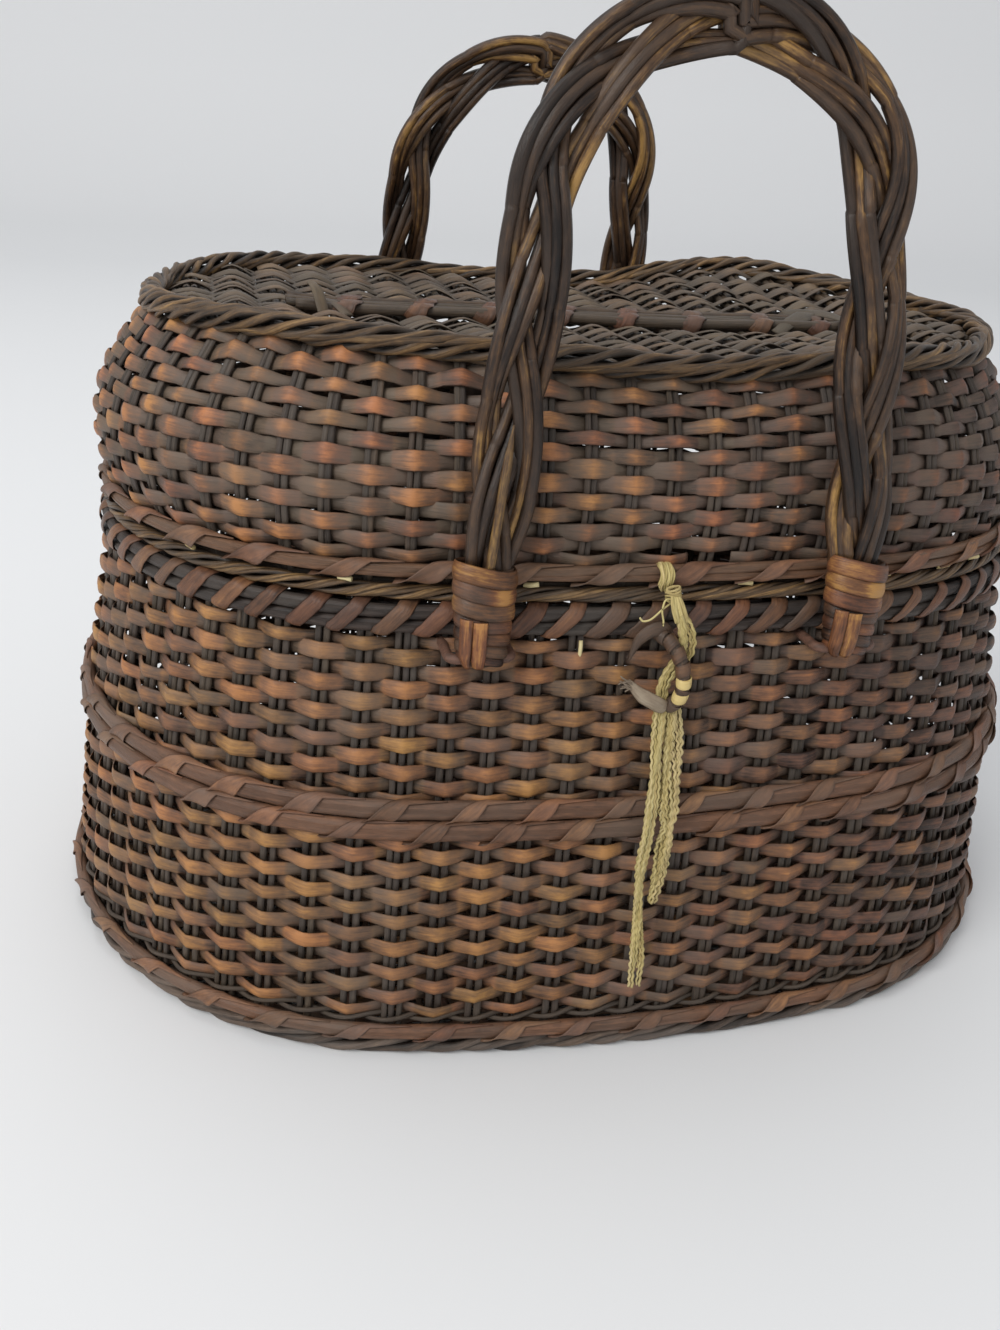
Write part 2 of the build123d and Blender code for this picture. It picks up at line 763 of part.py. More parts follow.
os.makedirs("parts", exist_ok=True)
for name, pieces in all_parts().items():
    shape = pieces[0] if len(pieces) == 1 else Compound(children=list(pieces))
    export_step(shape, f"parts/{name}.step")
for name, route in (("left tail", left_tail_route), ("right tail", right_tail_route)):
    print(name, "radii", [round(r, 1) for r in corner_radii(route)])
print("hinge axis", round(hinge_y(), 3), round(hinge_z, 3))
print("handle pivots", round(pivot_y(-1), 3), round(pivot_y(1), 3), round(pivot_z, 3))
print("tie axis", round(-oval_depth(lid_hoop_grow, 0), 3), round(lid_hoop_z, 3))
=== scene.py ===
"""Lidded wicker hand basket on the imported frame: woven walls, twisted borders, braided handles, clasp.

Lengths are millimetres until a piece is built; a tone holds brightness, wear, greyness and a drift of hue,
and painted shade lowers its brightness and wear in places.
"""
import bpy
import math
import numpy as np
from mathutils import Matrix, Vector


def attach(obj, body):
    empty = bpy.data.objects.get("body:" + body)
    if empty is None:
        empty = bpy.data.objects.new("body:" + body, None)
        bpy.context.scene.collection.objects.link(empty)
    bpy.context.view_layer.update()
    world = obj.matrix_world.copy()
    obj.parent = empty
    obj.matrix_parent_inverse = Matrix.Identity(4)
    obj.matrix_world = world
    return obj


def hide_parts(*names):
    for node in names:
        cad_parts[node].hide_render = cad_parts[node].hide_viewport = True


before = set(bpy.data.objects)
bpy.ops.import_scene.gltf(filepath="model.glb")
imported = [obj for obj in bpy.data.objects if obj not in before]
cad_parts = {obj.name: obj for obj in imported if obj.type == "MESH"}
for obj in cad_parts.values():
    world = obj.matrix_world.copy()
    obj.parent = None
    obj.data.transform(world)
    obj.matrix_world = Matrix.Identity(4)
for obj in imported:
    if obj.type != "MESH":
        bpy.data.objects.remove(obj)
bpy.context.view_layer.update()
scene = bpy.context.scene
MM = 0.001
TAU = math.tau
UP = np.array([0, 0, 1.0])
rng = np.random.default_rng(11)

# ---- plan oval of four tangent arcs
HALF_LENGTH, HALF_DEPTH, END_R = 166.5, 112.0, 108.0
SIDE_R = (HALF_LENGTH ** 2 + HALF_DEPTH ** 2 - 2 * HALF_LENGTH * END_R) / (2 * (HALF_DEPTH - END_R))
END_C, SIDE_C = HALF_LENGTH - END_R, SIDE_R - HALF_DEPTH
JOIN = math.atan2(SIDE_C, END_C)
END_ARC, SIDE_ARC = END_R * 2 * JOIN, SIDE_R * (math.pi - 2 * JOIN)
PERIMETER = 2 * (END_ARC + SIDE_ARC)

# ---- heights, and how far each oval stands outside the plan
FOOT_GROW, WAIST_GROW, WAIST_Z, WALL_TOP = 18.2, 9.3, 84.5, 140.9
LID_LOW, LID_TOP, BELLY_Z = 156.7, 213.2, 171.7
LID_FOOT_GROW, LID_BELLY_GROW, LID_SHOULDER_GROW = -3.4, -2.0, -17.7
FOOT_ROPE_Z, FOOT_ROD_Z, WAIST_LOW_Z, WAIST_HIGH_Z, RIM_Z = 3.15, 8.9, 81.0, 87.9, 146.3
PLAIT_Z, LID_ROD_Z, TOP_WEAVE_Z, BORDER_Z, SPINE_Z = 154.2, 161.0, 215.0, 217.3, 218.3
# groups of stakes round a wall, and points of a splint's path from one group to the next
STAKES, STEPS = 72, 12


def oval(t, grow, z):
    """Points on the grown plan at shares t of its run from the +X end, and their outward directions."""
    t = np.asarray(t, float) % 1.0
    s = (t * PERIMETER + END_R * JOIN) % PERIMETER
    marks = [0, END_ARC, END_ARC + SIDE_ARC, 2 * END_ARC + SIDE_ARC, PERIMETER]
    arcs = [(END_C, 0.0, END_R, -JOIN), (0.0, -SIDE_C, SIDE_R, JOIN),
        (-END_C, 0.0, END_R, math.pi - JOIN), (0.0, SIDE_C, SIDE_R, math.pi + JOIN)]
    cx, cy, r, a = (np.zeros_like(s) for _ in range(4))
    for k, (x, y, radius, start) in enumerate(arcs):
        hit = (s >= marks[k]) & (s <= marks[k + 1])
        cx[hit], cy[hit], r[hit] = x, y, radius
        a[hit] = start + (s[hit] - marks[k]) / radius
    p = stacked(cx + (r + grow) * np.cos(a), cy + (r + grow) * np.sin(a), z)
    return p, stacked(np.cos(a), np.sin(a), 0.0)


def front_share(x):
    """Share of the perimeter at an x on the front."""
    t = np.linspace(0.5, 1.0, 4001)
    p, _ = oval(t, 0.0, 0.0)
    return t[np.argmin(np.abs(p[:, 0] - x))]


def body_grow(z):
    """How far the wall's solid stands outside the plan, by a parabola through foot, waist and top."""
    z = np.minimum(np.asarray(z, float), WALL_TOP)
    foot = (z - WAIST_Z) * (z - WALL_TOP) / (WAIST_Z * WALL_TOP)
    waist = z * (z - WALL_TOP) / (WAIST_Z * (WAIST_Z - WALL_TOP))
    return FOOT_GROW * foot + WAIST_GROW * waist


def lid_grow(z):
    """The same for the lid, widest at its belly."""
    z = np.asarray(z, float)
    low = LID_BELLY_GROW + (LID_FOOT_GROW - LID_BELLY_GROW) * ((BELLY_Z - z) / (BELLY_Z - LID_LOW)) ** 2
    share = np.clip((z - BELLY_Z) / (LID_TOP - BELLY_Z), 0, 1.1)
    high = LID_BELLY_GROW + (LID_SHOULDER_GROW - LID_BELLY_GROW) * share ** 2.4
    return np.where(z < BELLY_Z, low, high)


def stacked(*values):
    """Points, directions or tones, whose parts are each one value or one for every point."""
    return np.stack(np.broadcast_arrays(*values), -1)


def unit(v):
    return v / np.maximum(np.linalg.norm(v, axis=-1, keepdims=True), 1e-9)


def swing(e, f, a):
    """Directions turned by angles a from e towards f."""
    return e * np.cos(a)[:, None] + f * np.sin(a)[:, None]


def run_along(path):
    """Length of the path up to each of its points."""
    return np.concatenate([[0], np.cumsum(np.linalg.norm(np.diff(path, axis=0), axis=1))])


def eased(values, rounds=1):
    """Values whose inner ones are drawn towards their neighbours."""
    for _ in range(rounds):
        values[1:-1] = 0.25 * values[:-2] + 0.5 * values[1:-1] + 0.25 * values[2:]
    return values


def soft_path(points, count=24, rounds=5):
    """A smooth path by a few given points."""
    share, knots = np.linspace(0, 1, count), np.linspace(0, 1, len(points))
    return eased(np.stack([np.interp(share, knots, [q[n] for q in points]) for n in range(3)], -1), rounds)


class Profile:
    """A wall's height and stand-off by the distance run up it."""

    def __init__(self, grow, low, high, inset):
        z = np.linspace(low, high, 400)
        g = grow(z) - inset
        self.run = run_along(stacked(g, z))
        self.rows = g, z, np.gradient(g, self.run), np.gradient(z, self.run)
        self.length = self.run[-1]

    def at(self, t, q):
        """Points and outward surface normals at shares t and runs q."""
        q = np.clip(np.broadcast_to(q, np.shape(t)), 0, self.length)
        g, z, dg, dz = (np.interp(q, self.run, row) for row in self.rows)
        p, out = oval(t, g, z)
        return p, unit(out * dz[..., None] - UP * dg[..., None])


def lid_shape(p):
    """The old lid is out of level: low in its middle, up at both ends, most at the back right."""
    p = np.array(p, float)
    x, y = p[..., 0], p[..., 1]
    share = np.clip((p[..., 2] - 168.0) / 45.0, 0, 1) ** 1.3
    level = np.interp(x, [-150, -140, -122, -100, -75, -50, -25, 0, 20, 40, 60, 80, 100, 120, 150],
        [2.2, 4.0, 5.5, 4.8, 3.6, 2.5, 0.8, -0.4, -0.5, 0.7, 3.2, 5.6, 5.6, 4.6, 4.0])
    twist = np.interp(x, [-80, -20, 10, 40, 60, 100, 150], [-0.4, -0.3, 0.0, -0.2, 1.4, 3.6, 4.6])
    edge = level + twist * np.clip(y / 85.0, -1, 1)
    middle = np.interp(x, [-150, -140, -122, -104, -90, 5, 95, 108, 125, 150],
        [2.2, 4.0, 4.2, 1.0, -0.5, -2.0, -3.0, -1.0, 4.4, 4.0])
    rise = middle + (edge - middle) * np.clip(np.abs(y) / 72.0, 0, 1) ** 1.5
    # the left end bulges outwards, the right end leans in at its top
    height = np.clip((p[..., 2] - 158.0) / 60.0, 0, 1)
    swell = 4.2 * np.sin(math.pi * height) * np.clip((-x - 90.0) / 50.0, 0, 1)
    lean = 6.0 * share * np.clip((x - 70.0) / 70.0, 0, 1)
    p[..., 0] -= swell + lean
    p[..., 2] += share * rise
    return p


# ---- mesh pieces
def link_object(name, data):
    obj = bpy.data.objects.new(name, data)
    scene.collection.objects.link(obj)
    return obj


def smooth_object(name, points, faces, material):
    mesh = bpy.data.meshes.new(name)
    mesh.from_pydata(points, [], faces)
    mesh.polygons.foreach_set("use_smooth", np.ones(len(mesh.polygons), bool))
    mesh.materials.append(material)
    return link_object(name, mesh)


def square_to(path, ref):
    """Unit directions along a path, and towards ref but square to the path."""
    t = unit(np.gradient(path, axis=0))
    ref = np.broadcast_to(ref, path.shape)
    return t, unit(ref - (ref * t).sum(-1, keepdims=True) * t)


class Piece:
    """Rings of points gathered into one mesh, with a grain direction and a tone at each point."""

    def __init__(self):
        self.points, self.faces, self.grain, self.tone, self.count = [], [], [], [], 0

    def rings(self, p, along, across, tone, caps=False):
        """Rings joined by quads; caps close both ends round a middle point."""
        m, k = p.shape[:2]
        i = np.arange(m - 1)[:, None] * k
        j = np.arange(k)
        n = (j + 1) % k
        self.faces.append(stacked(i + j, i + n, i + k + n, i + k + j).reshape(-1, 4) + self.count)
        grain = np.empty((m, k, 3))
        grain[..., 0] = np.asarray(along)[:, None]
        grain[..., 1] = across
        grain[..., 2] = rng.uniform(0, 900)
        points, grain = p.reshape(-1, 3), grain.reshape(-1, 3)
        tone = np.broadcast_to(tone, (m, k, 4)).reshape(-1, 4)
        if caps:
            for first, second, centre in ((n, j, m * k), ((m - 1) * k + j, (m - 1) * k + n, m * k + 1)):
                self.faces.append(stacked(first, second, centre, centre) + self.count)
            points = np.concatenate([points, p[:1].mean(1), p[-1:].mean(1)])
            grain, tone = (np.concatenate([each, each[:1], each[-1:]]) for each in (grain, tone))
        self.points.append(points)
        self.grain.append(grain)
        self.tone.append(tone)
        self.count += len(points)

    def skin(self, path, a, b, x, y, side, tone, shade, painted_dim, caps):
        """Rings of points x along a and y along b; painted shade lowers the wear and dims the brightness
        round each ring.
        """
        p = path[:, None] + x[..., None] * a[:, None] + y[..., None] * b[:, None]
        tone = np.asarray(tone, float)
        tone = np.broadcast_to(tone if tone.ndim == 1 else tone[:, None], (*p.shape[:2], 4)).copy()
        tone[..., 1] *= shade
        tone[..., 0] -= painted_dim
        self.rings(p, run_along(path), side[None, :], tone, caps)

    def tube(self, path, ref, radius, sides, tone, flat=1.0, caps=False, groove_shade=0.0, both=False):
        """Round cane; flat squeezes it along ref, and painted shade darkens it away from ref."""
        t, a = square_to(path, ref)
        turn = np.arange(sides) * TAU / sides
        radius = np.broadcast_to(radius, (len(path),))[:, None]
        painted_dim = groove_shade * (1 - (np.abs(np.cos(turn)) if both else np.clip(0.35 + 0.65 * np.cos(turn), 0, 1)))
        self.skin(path, a, np.cross(t, a), radius * flat * np.cos(turn), radius * np.sin(turn),
            turn * np.mean(radius), tone, 1 - painted_dim, 0.5 * painted_dim, caps)

    def ribbon(self, path, out, width, thick, tone, tilt=0.0, crown=0.35, caps=False):
        """Flat splint with a crowned face towards out."""
        t, a = square_to(path, out)
        b = np.cross(a, t)
        tilt, width, thick = (np.broadcast_to(value, (len(path),))[:, None] for value in (tilt, width, thick))
        a, b = unit(a * np.cos(tilt) + b * np.sin(tilt)), unit(b * np.cos(tilt) - a * np.sin(tilt))
        across = np.array([-0.5, -0.44, -0.22, 0.0, 0.22, 0.44, 0.5, 0.3, -0.3])
        rise = np.array([-0.15, 0.22, 0.42, 0.5, 0.42, 0.22, -0.15, -0.5, -0.5])
        bulge = crown * np.array([0, 0.1, 0.7, 1, 0.7, 0.1, 0, 0.9, 0.9]) - crown * 0.4
        # painted shade: the splint's edges and back are darker
        shade = np.array([0.55, 0.8, 1.0, 1.0, 1.0, 0.8, 0.55, 0.5, 0.5])
        self.skin(path, a, b, thick * rise + bulge, width * across, across * np.mean(width), tone, shade, 0.0,
            caps)

    def build(self, name, body, slot, material, nodes=(), shape=None):
        """The mesh object in metres, riding its body and shown for its CAD nodes."""
        points = np.concatenate(self.points)
        if shape:
            points = shape(points)
        faces = np.concatenate(self.faces)
        tris = faces[:, 2] == faces[:, 3]
        faces = faces[~tris].tolist() + faces[tris][:, :3].tolist()
        obj = smooth_object(name, (points * MM).tolist(), faces, material)
        for key, kind, part, values in (("grain", "FLOAT_VECTOR", "vector", self.grain),
                                        ("tone", "FLOAT_COLOR", "color", self.tone)):
            layer = obj.data.attributes.new(key, kind, "POINT")
            layer.data.foreach_set(part, np.concatenate(values).astype(np.float32).ravel())
        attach(obj, body)
        if nodes:
            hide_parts(*nodes)
        return obj


def free_splint(piece, points, marks, widths, thick, tone, out, tilt=0.0, crown=0.15, count=24, rounds=5):
    """A splint end that has worked loose and stands away from the weave."""
    wide = np.interp(np.linspace(0, 1, count), marks, widths)
    piece.ribbon(soft_path(points, count, rounds), out, wide, thick, tone, tilt=tilt, crown=crown, caps=True)


# ---- materials
def new_material(name):
    """An empty material, and a function that adds a shader node to it."""
    mat = bpy.data.materials.new(name)
    mat.use_nodes = True
    nodes, link = mat.node_tree.nodes, mat.node_tree.links.new
    nodes.clear()

    def add(kind, inputs, **settings):
        """A shader node; each input takes a constant or the socket that feeds it."""
        node = nodes.new("ShaderNode" + kind)
        for key, value in settings.items():
            setattr(node, key, value)
        for key, value in inputs.items():
            if isinstance(value, bpy.types.NodeSocket):
                link(value, node.inputs[key])
            else:
                node.inputs[key].default_value = value
        return node

    return mat, add


def cane(name, deep, dark, mid, light, grey, rough=0.5, streak=0.75, bump=0.8, over=0.55, fixed=None):
    """Old cane in 0-255 screen colours: fine streaks along its grain, greyed patches and a worn sheen.

    Brightness and wear, both lowered in places by painted shade, and greyness come from the tone, or from
    fixed for CAD solids, which carry none.
    """
    deep, dark, mid, light, grey = (
        (*[(c / 255.0) ** 2.2 for c in colour], 1) for colour in (deep, dark, mid, light, grey))
    mat, add = new_material(name)

    def noise(source, stretch, scale, detail, roughness):
        place = add("Mapping", {"Scale": stretch, "Vector": source}).outputs[0]
        inputs = {"Scale": scale, "Detail": detail, "Roughness": roughness, "Vector": place}
        return add("TexNoise", inputs).outputs[0]

    def maths(kind, a, b):
        return add("Math", {0: a, 1: b}, operation=kind).outputs[0]

    def from_half(value, gain):
        """How far a value stands above a half, times a gain."""
        return maths("MULTIPLY", maths("SUBTRACT", value, 0.5), gain)

    own = add("TexCoord", {}).outputs["Object"]
    if fixed:
        grain = add("VectorMath", {0: own, "Scale": 1000.0}, operation="SCALE").outputs[0]
        bright, worn, greyed = fixed
        turn = 0.5
    else:
        grain = add("Attribute", {}, attribute_name="grain").outputs["Vector"]
        tone = add("Attribute", {}, attribute_name="tone")
        bright, worn, greyed = add("SeparateColor", {0: tone.outputs["Color"]}).outputs[:3]
        turn = maths("ADD", from_half(tone.outputs["Alpha"], 0.016), 0.5)
    fibres = noise(grain, (0.09, 1.5, 1.0), 1.0, 5.0, 0.7)
    blotch = noise(grain, (0.22, 0.55, 1.0), 1.0, 3.0, 0.6)
    patch = noise(own, (1.0, 1.0, 1.0), 26.0, 3.0, 0.55)
    # the wear in the tone lightens the cane; painted shade lowers it in hollows, at splint edges and behind
    # stakes
    value = maths("MULTIPLY", worn, over)
    for part in (from_half(fibres, streak), from_half(blotch, 0.7), maths("MULTIPLY", bright, 0.45)):
        value = maths("ADD", value, part)
    ramp = add("ValToRGB", {0: value})
    stops = ramp.color_ramp.elements
    stops[0].position = 0.08
    stops[1].position = 0.92
    stops[0].color = deep
    stops[1].color = light
    stops.new(0.34).color = dark
    stops.new(0.62).color = mid
    amount = add("Clamp", {0: maths("ADD", greyed, from_half(patch, 1.3)), "Max": 0.75})
    mix = add("Mix", {"A": ramp.outputs[0], "B": grey, "Factor": amount.outputs[0]}, data_type="RGBA")
    hue = add("HueSaturation", {"Color": mix.outputs["Result"], "Hue": turn})
    sheen = add("MapRange", {0: blotch, "To Min": rough - 0.12, "To Max": rough + 0.14})
    relief = add("Bump", {"Strength": bump, "Distance": 0.0004, "Height": fibres})
    bsdf = add("BsdfPrincipled", {"Base Color": hue.outputs[0], "Roughness": sheen.outputs[0],
        "Specular IOR Level": 0.4, "Normal": relief.outputs[0]})
    add("OutputMaterial", {0: bsdf.outputs[0]})
    return mat


WEAVE = cane("weave_cane", (46, 35, 28), (92, 69, 53), (130, 93, 63), (172, 122, 74), (114, 98, 86))
LID_WEAVE = cane("lid_weave_cane", (46, 37, 31), (88, 69, 57), (122, 86, 63), (176, 120, 76),
    (106, 92, 80), over=0.6)
TOP_WEAVE = cane("top_weave_cane", (34, 28, 24), (68, 57, 48), (98, 80, 63), (132, 106, 80), (88, 79, 68))
STAKE = cane("stake_cane", (38, 33, 30), (62, 54, 47), (88, 75, 63), (118, 100, 82), (88, 80, 74), 0.55)
ROD = cane("rod_cane", (46, 34, 28), (88, 65, 51), (116, 83, 63), (152, 108, 76), (108, 92, 80), 0.48)
TOP_ROD = cane("top_rod_cane", (32, 26, 21), (66, 54, 43), (94, 77, 59), (124, 102, 78), (86, 78, 68))
RIM = cane("rim_rod_cane", (30, 26, 24), (54, 46, 42), (76, 64, 57), (104, 86, 70), (80, 74, 68))
WRAP = cane("wrap_cane", (42, 29, 22), (82, 57, 43), (114, 78, 56), (150, 106, 70), (98, 82, 72), 0.43)
CUFF = cane("cuff_cane", (32, 21, 16), (74, 50, 37), (116, 75, 49), (172, 124, 70), (92, 76, 64), 0.4,
    streak=1.0)
ROPE = cane("rope_cane", (28, 22, 17), (62, 49, 37), (100, 77, 52), (160, 126, 82), (84, 74, 64), 0.42,
    streak=0.95)
FOOT_ROPE = cane("foot_cane", (38, 32, 28), (74, 63, 55), (108, 91, 78), (142, 119, 96), (106, 97, 90))
BRAID = cane("braid_cane", (22, 16, 13), (49, 37, 29), (87, 64, 44), (166, 128, 74), (80, 66, 56), 0.34,
    streak=0.9)
SOLID_ROD = cane("plain_rod_cane", (44, 32, 27), (84, 61, 50), (112, 80, 65), (142, 104, 80),
    (104, 86, 78), fixed=(0.45, 0.5, 0.2))
SOLID_WRAP = cane("plain_wrap_cane", (46, 30, 23), (90, 60, 46), (124, 82, 60), (152, 106, 74),
    (106, 86, 76), fixed=(0.5, 0.6, 0.2))
STRAW = cane("cut_cane", (110, 86, 54), (150, 122, 80), (190, 164, 116), (216, 198, 152), (170, 152, 120),
    0.6)
PALE = cane("pale_wrap_cane", (96, 76, 46), (150, 122, 76), (186, 154, 98), (210, 182, 124),
    (160, 142, 110))
WORN = cane("worn_grey_cane", (62, 50, 42), (104, 88, 74), (140, 122, 104), (172, 156, 136),
    (130, 114, 100), 0.6)
STRING = cane("string", (116, 98, 58), (160, 142, 92), (196, 178, 122), (222, 206, 152), (186, 172, 134),
    0.8, 0.35, 0.3, 0.4)


def some_tone(base, spread, over, grey=0.2):
    """A random tone about these values."""
    drift = rng.uniform(0.1, 0.9)
    return np.array([base + rng.uniform(-spread, spread), over, grey + rng.uniform(-0.25, 0.25), drift])


# ---- woven walls
def weave_wall(name, body, material, nodes, profile, rows, low=1.2, high=1.2, amp=2.6, width=5.4, middle=0.87,
        under=0.92, crease=(0.45, 1.0), parity=0, grey=0.1, glow=0.5, first_row=None, shape=None):
    """Rows of flat splints that pass in front of one stake group and behind the next."""
    piece = Piece()
    pitch = (profile.length - low - high) / rows
    for row in range(rows):
        start, stop = first_row if first_row and row == 0 else (0, STAKES)
        u = np.arange(start, stop + 0.5 / STEPS, 1 / STEPS)
        t = u / STAKES
        k = np.round(u).astype(int) % STAKES

        def each(least, most):
            """A random value for each stake, at every point of the row."""
            return rng.uniform(least, most, STAKES)[k]

        drift = 0.3 * np.sin(TAU * (t * rng.integers(2, 5) + rng.uniform())) + 0.2 * np.sin(
            TAU * (t * rng.integers(9, 14) + rng.uniform()))
        step_up = np.interp(u, np.arange(STAKES), rng.uniform(-0.3, 0.3, STAKES), period=STAKES)
        q = low + (row + 0.5) * pitch + drift + step_up
        near = u - np.round(u)
        wave = np.cos(math.pi * (u + row + parity))
        ridge = np.where(np.cos(math.pi * (np.round(u) + row + parity)) > 0, 1, -1) * (1 - 2 * np.abs(near))
        sharp = each(*crease)
        off = amp * ((1 - sharp) * wave + sharp * ridge) * each(0.92, 1.06)
        lens = middle + np.where(wave > 0, 1 - middle, under - middle) * np.abs(wave) ** 1.2
        wide = width * rng.choice([0.78, 0.95, 1.04, 1.12], p=[0.12, 0.28, 0.38, 0.22]) * lens
        wide = wide * each(0.93, 1.07) * (1 + 0.04 * np.sin(u * 7.3 + 3 * row) * np.sin(u * 2.9 + row))
        p, out = profile.at(t, q)
        # the photograph's light falls off towards the right
        right = np.clip((p[:, 0] + 30.0) / 130.0, 0, 1)
        # painted shade: towards the right the splints get darker and redder, and their peaks narrower and
        # fainter
        peak = np.clip(1 - (3.2 + 1.4 * right) * np.abs(near), 0, 1) * (wave > 0)
        # the over-pass peaks are lighter, partly wear and partly a painted highlight; painted shade makes the
        # under-passes behind the stakes darker and greyer
        over = 0.98 - glow + glow * (1 - 0.6 * right) * peak + np.where(wave > 0, 0.1 * wave, 0.7 * wave)
        tone = stacked(each(0.1, 0.85) + rng.uniform(-0.14, 0.14) - 0.48 * right, np.clip(over, 0, 1),
            grey * (1 - peak) + each(-0.25, 0.3) + 0.3 * np.clip(-wave, 0, 1),
            each(-0.1, 1.1) - 0.5 * right)
        tilt = -0.12 * np.clip(wave, 0, 1) + 0.05 * np.sin(5 * u)
        p = p + off[:, None] * out
        piece.ribbon(p, out, wide, 0.8, tone, tilt=tilt, crown=0.25, caps=bool(first_row))
    piece.build(name, body, "weave", material, nodes, shape)


def stake_canes(name, body, nodes, profile, shape=None, radius=1.2, triple=0.16, spacing=1.35,
        right_apart=1.0):
    """Upright canes in twos and threes that the splints pass round."""
    piece = Piece()
    q = np.linspace(0, profile.length, 20)
    for k in range(STAKES):
        three = rng.uniform() < triple
        on_right = oval(np.array([k / STAKES]), 0.0, 0.0)[0][0, 0] > 10
        apart = spacing * (right_apart if on_right else 1.0)
        lean = rng.uniform(-0.5, 0.5)
        for side in (-1.65 * apart, 0.0, 1.65 * apart) if three else (-apart, apart):
            bend = lean * np.sin(q / profile.length * 5 + side) + rng.uniform(-0.2, 0.2)
            p, out = profile.at((k + (side + bend) / PERIMETER * STAKES) / STAKES, q)
            r = radius * (0.86 if three else 1.0) * rng.uniform(0.92, 1.08)
            piece.tube(p, out, r * (1 + 0.05 * np.sin(q / 6 + k)), 7, some_tone(0.35, 0.3, 0.45, 0.25), 0.8)
    piece.build(name, body, "stake_cane", STAKE, nodes, shape)


# the woven surfaces: between two heights, set in from the solids' faces
lower = Profile(body_grow, 12.4, 79.6, 1.6)
upper = Profile(body_grow, 87.3, 141.6, 1.6)
whole = Profile(body_grow, 7.0, 150.0, 1.6)
lid_side = Profile(lid_grow, 162.2, 213.8, 1.5)
lid_foot = Profile(lid_grow, 156.2, 160.6, 2.6)
lid_whole = Profile(lid_grow, 154.5, 214.8, 1.5)
# the lid's lowest row is parted where the string passes
gap_at = round(front_share(7.0) * STAKES)

weave_wall("lower_weave", "basket", WEAVE, ["lower_wall"], lower, 14, parity=1)
weave_wall("upper_weave", "basket", WEAVE, ["upper_wall"], upper, 12, low=0.4)
stake_canes("upright_canes", "basket", ["body_stakes"], whole)
weave_wall("lid_weave", "lid", LID_WEAVE, ["lid_wall"], lid_side, 13, low=0.4, high=0.4, amp=2.1, width=4.85,
    middle=0.88, under=1.0, crease=(0.7, 1.0), grey=0.45, glow=0.55,
    first_row=(gap_at + 0.6 - STAKES, gap_at - 0.5), shape=lid_shape)
weave_wall("lid_foot_weave", "lid", LID_WEAVE, [], lid_foot, 1, low=0.2, high=0.2, amp=0.9, width=4.2,
    middle=1.0, under=1.0, grey=0.5, glow=0.7)
stake_canes("lid_canes", "lid", ["lid_stakes"], lid_whole, lid_shape, 1.0, 0.1, 0.85, 1.3)

twine = Piece()
u = np.arange(STAKES * 10 + 1) / 10
for j in (0, 1):
    wave = np.cos(math.pi * (u + j))
    q = 5.4 + 0.8 * np.sin(math.pi * (u + j)) + 0.2 * np.sin(u * 1.7)
    p, out = whole.at(u / STAKES, q)
    twine.tube(p + out * (1.9 * wave)[:, None], out, 0.8, 7, some_tone(0.5, 0.2, 0.5, 0.4))
twine.build("foot_twining", "basket", "rod_cane", STAKE)


# ---- rods, wraps and ropes that run round the oval
def ring_rod(piece, grow, z, high, deep, bands, start, base, over):
    """A cane that runs round the oval and changes tone where each band crosses it."""
    t = np.linspace(0, 1, 1081)
    p, out = oval(t, grow, z)
    s = (t * bands - start) % 1.0
    segment = np.floor(t * bands - start).astype(int) % bands
    tone = stacked(base + rng.uniform(-0.22, 0.22, bands)[segment], over,
        0.2 + rng.uniform(-0.25, 0.3, bands)[segment], 0.5)
    piece.tube(p, out, high * (1 + 0.05 * np.cos(TAU * s)), 12, tone, deep / high)


def ring_bands(piece, grow, z, high, deep, count, start, width, advance, tail):
    """Splints that cross a rod upwards to the right and end in a point along its top."""
    low, top, thick = -2.0, 1.35, 0.55
    share = np.linspace(0, 1, 18)
    over = np.clip(share / 0.7, 0, 1)
    a = low + (top - low) * over
    along = advance * over + tail * np.clip((share - 0.7) / 0.3, 0, 1) - advance / 2
    taper = np.interp(share, [0, 0.45, 0.7, 0.85, 1], [1, 1, 0.45, 0.2, 0.04])
    for k in range(count):
        p, out = oval((k + start) / count + (along + rng.uniform(-1.5, 1.5)) / PERIMETER, grow, z)
        away = swing(out, UP, a)
        skin = p + swing(out * deep, UP * high, a)
        wide = width * rng.uniform(0.8, 1.2) * taper
        tone = some_tone(0.5, 0.35, 0.7, 0.15)
        piece.ribbon(skin + away * thick * 0.25, away, wide, thick, tone, crown=0.05, caps=True)


def ring_rope(piece, grow, z, strand, lay_radius, strands, lay, base, over, groove_shade=0.85, shift=0.0):
    """Strands laid round each other along the oval, with painted shade in the hollows between them."""
    t = np.linspace(0, 1, 1401)
    c, out = oval(t, grow, z)
    turns = round(PERIMETER / lay)
    for k in range(strands):
        phase = TAU * (turns * t + (k + shift) / strands) + 0.3 * np.sin(TAU * (t * 23 + 0.37 * k))
        r = lay_radius * (1 + 0.10 * np.sin(TAU * (t * 37 + rng.uniform())))
        away = unit(swing(out, UP, phase))
        turn = np.floor(turns * t + k / strands + 0.5).astype(int) % turns
        tone = stacked(base + rng.uniform(-0.3, 0.35, turns)[turn], over,
            0.1 + rng.uniform(-0.25, 0.35, turns)[turn], 0.5)
        wave = 1 + 0.12 * np.sin(TAU * (t * 53 + k * 0.4))
        piece.tube(c + away * r[:, None], away, strand * wave, 10, tone, groove_shade=groove_shade)


foot = Piece()
ring_rope(foot, 17.7, FOOT_ROPE_Z, 1.45, 1.75, 4, 56.0, 0.4, 0.6)
foot.build("foot_rope", "basket", "rope_cane", FOOT_ROPE, ["foot_border"])

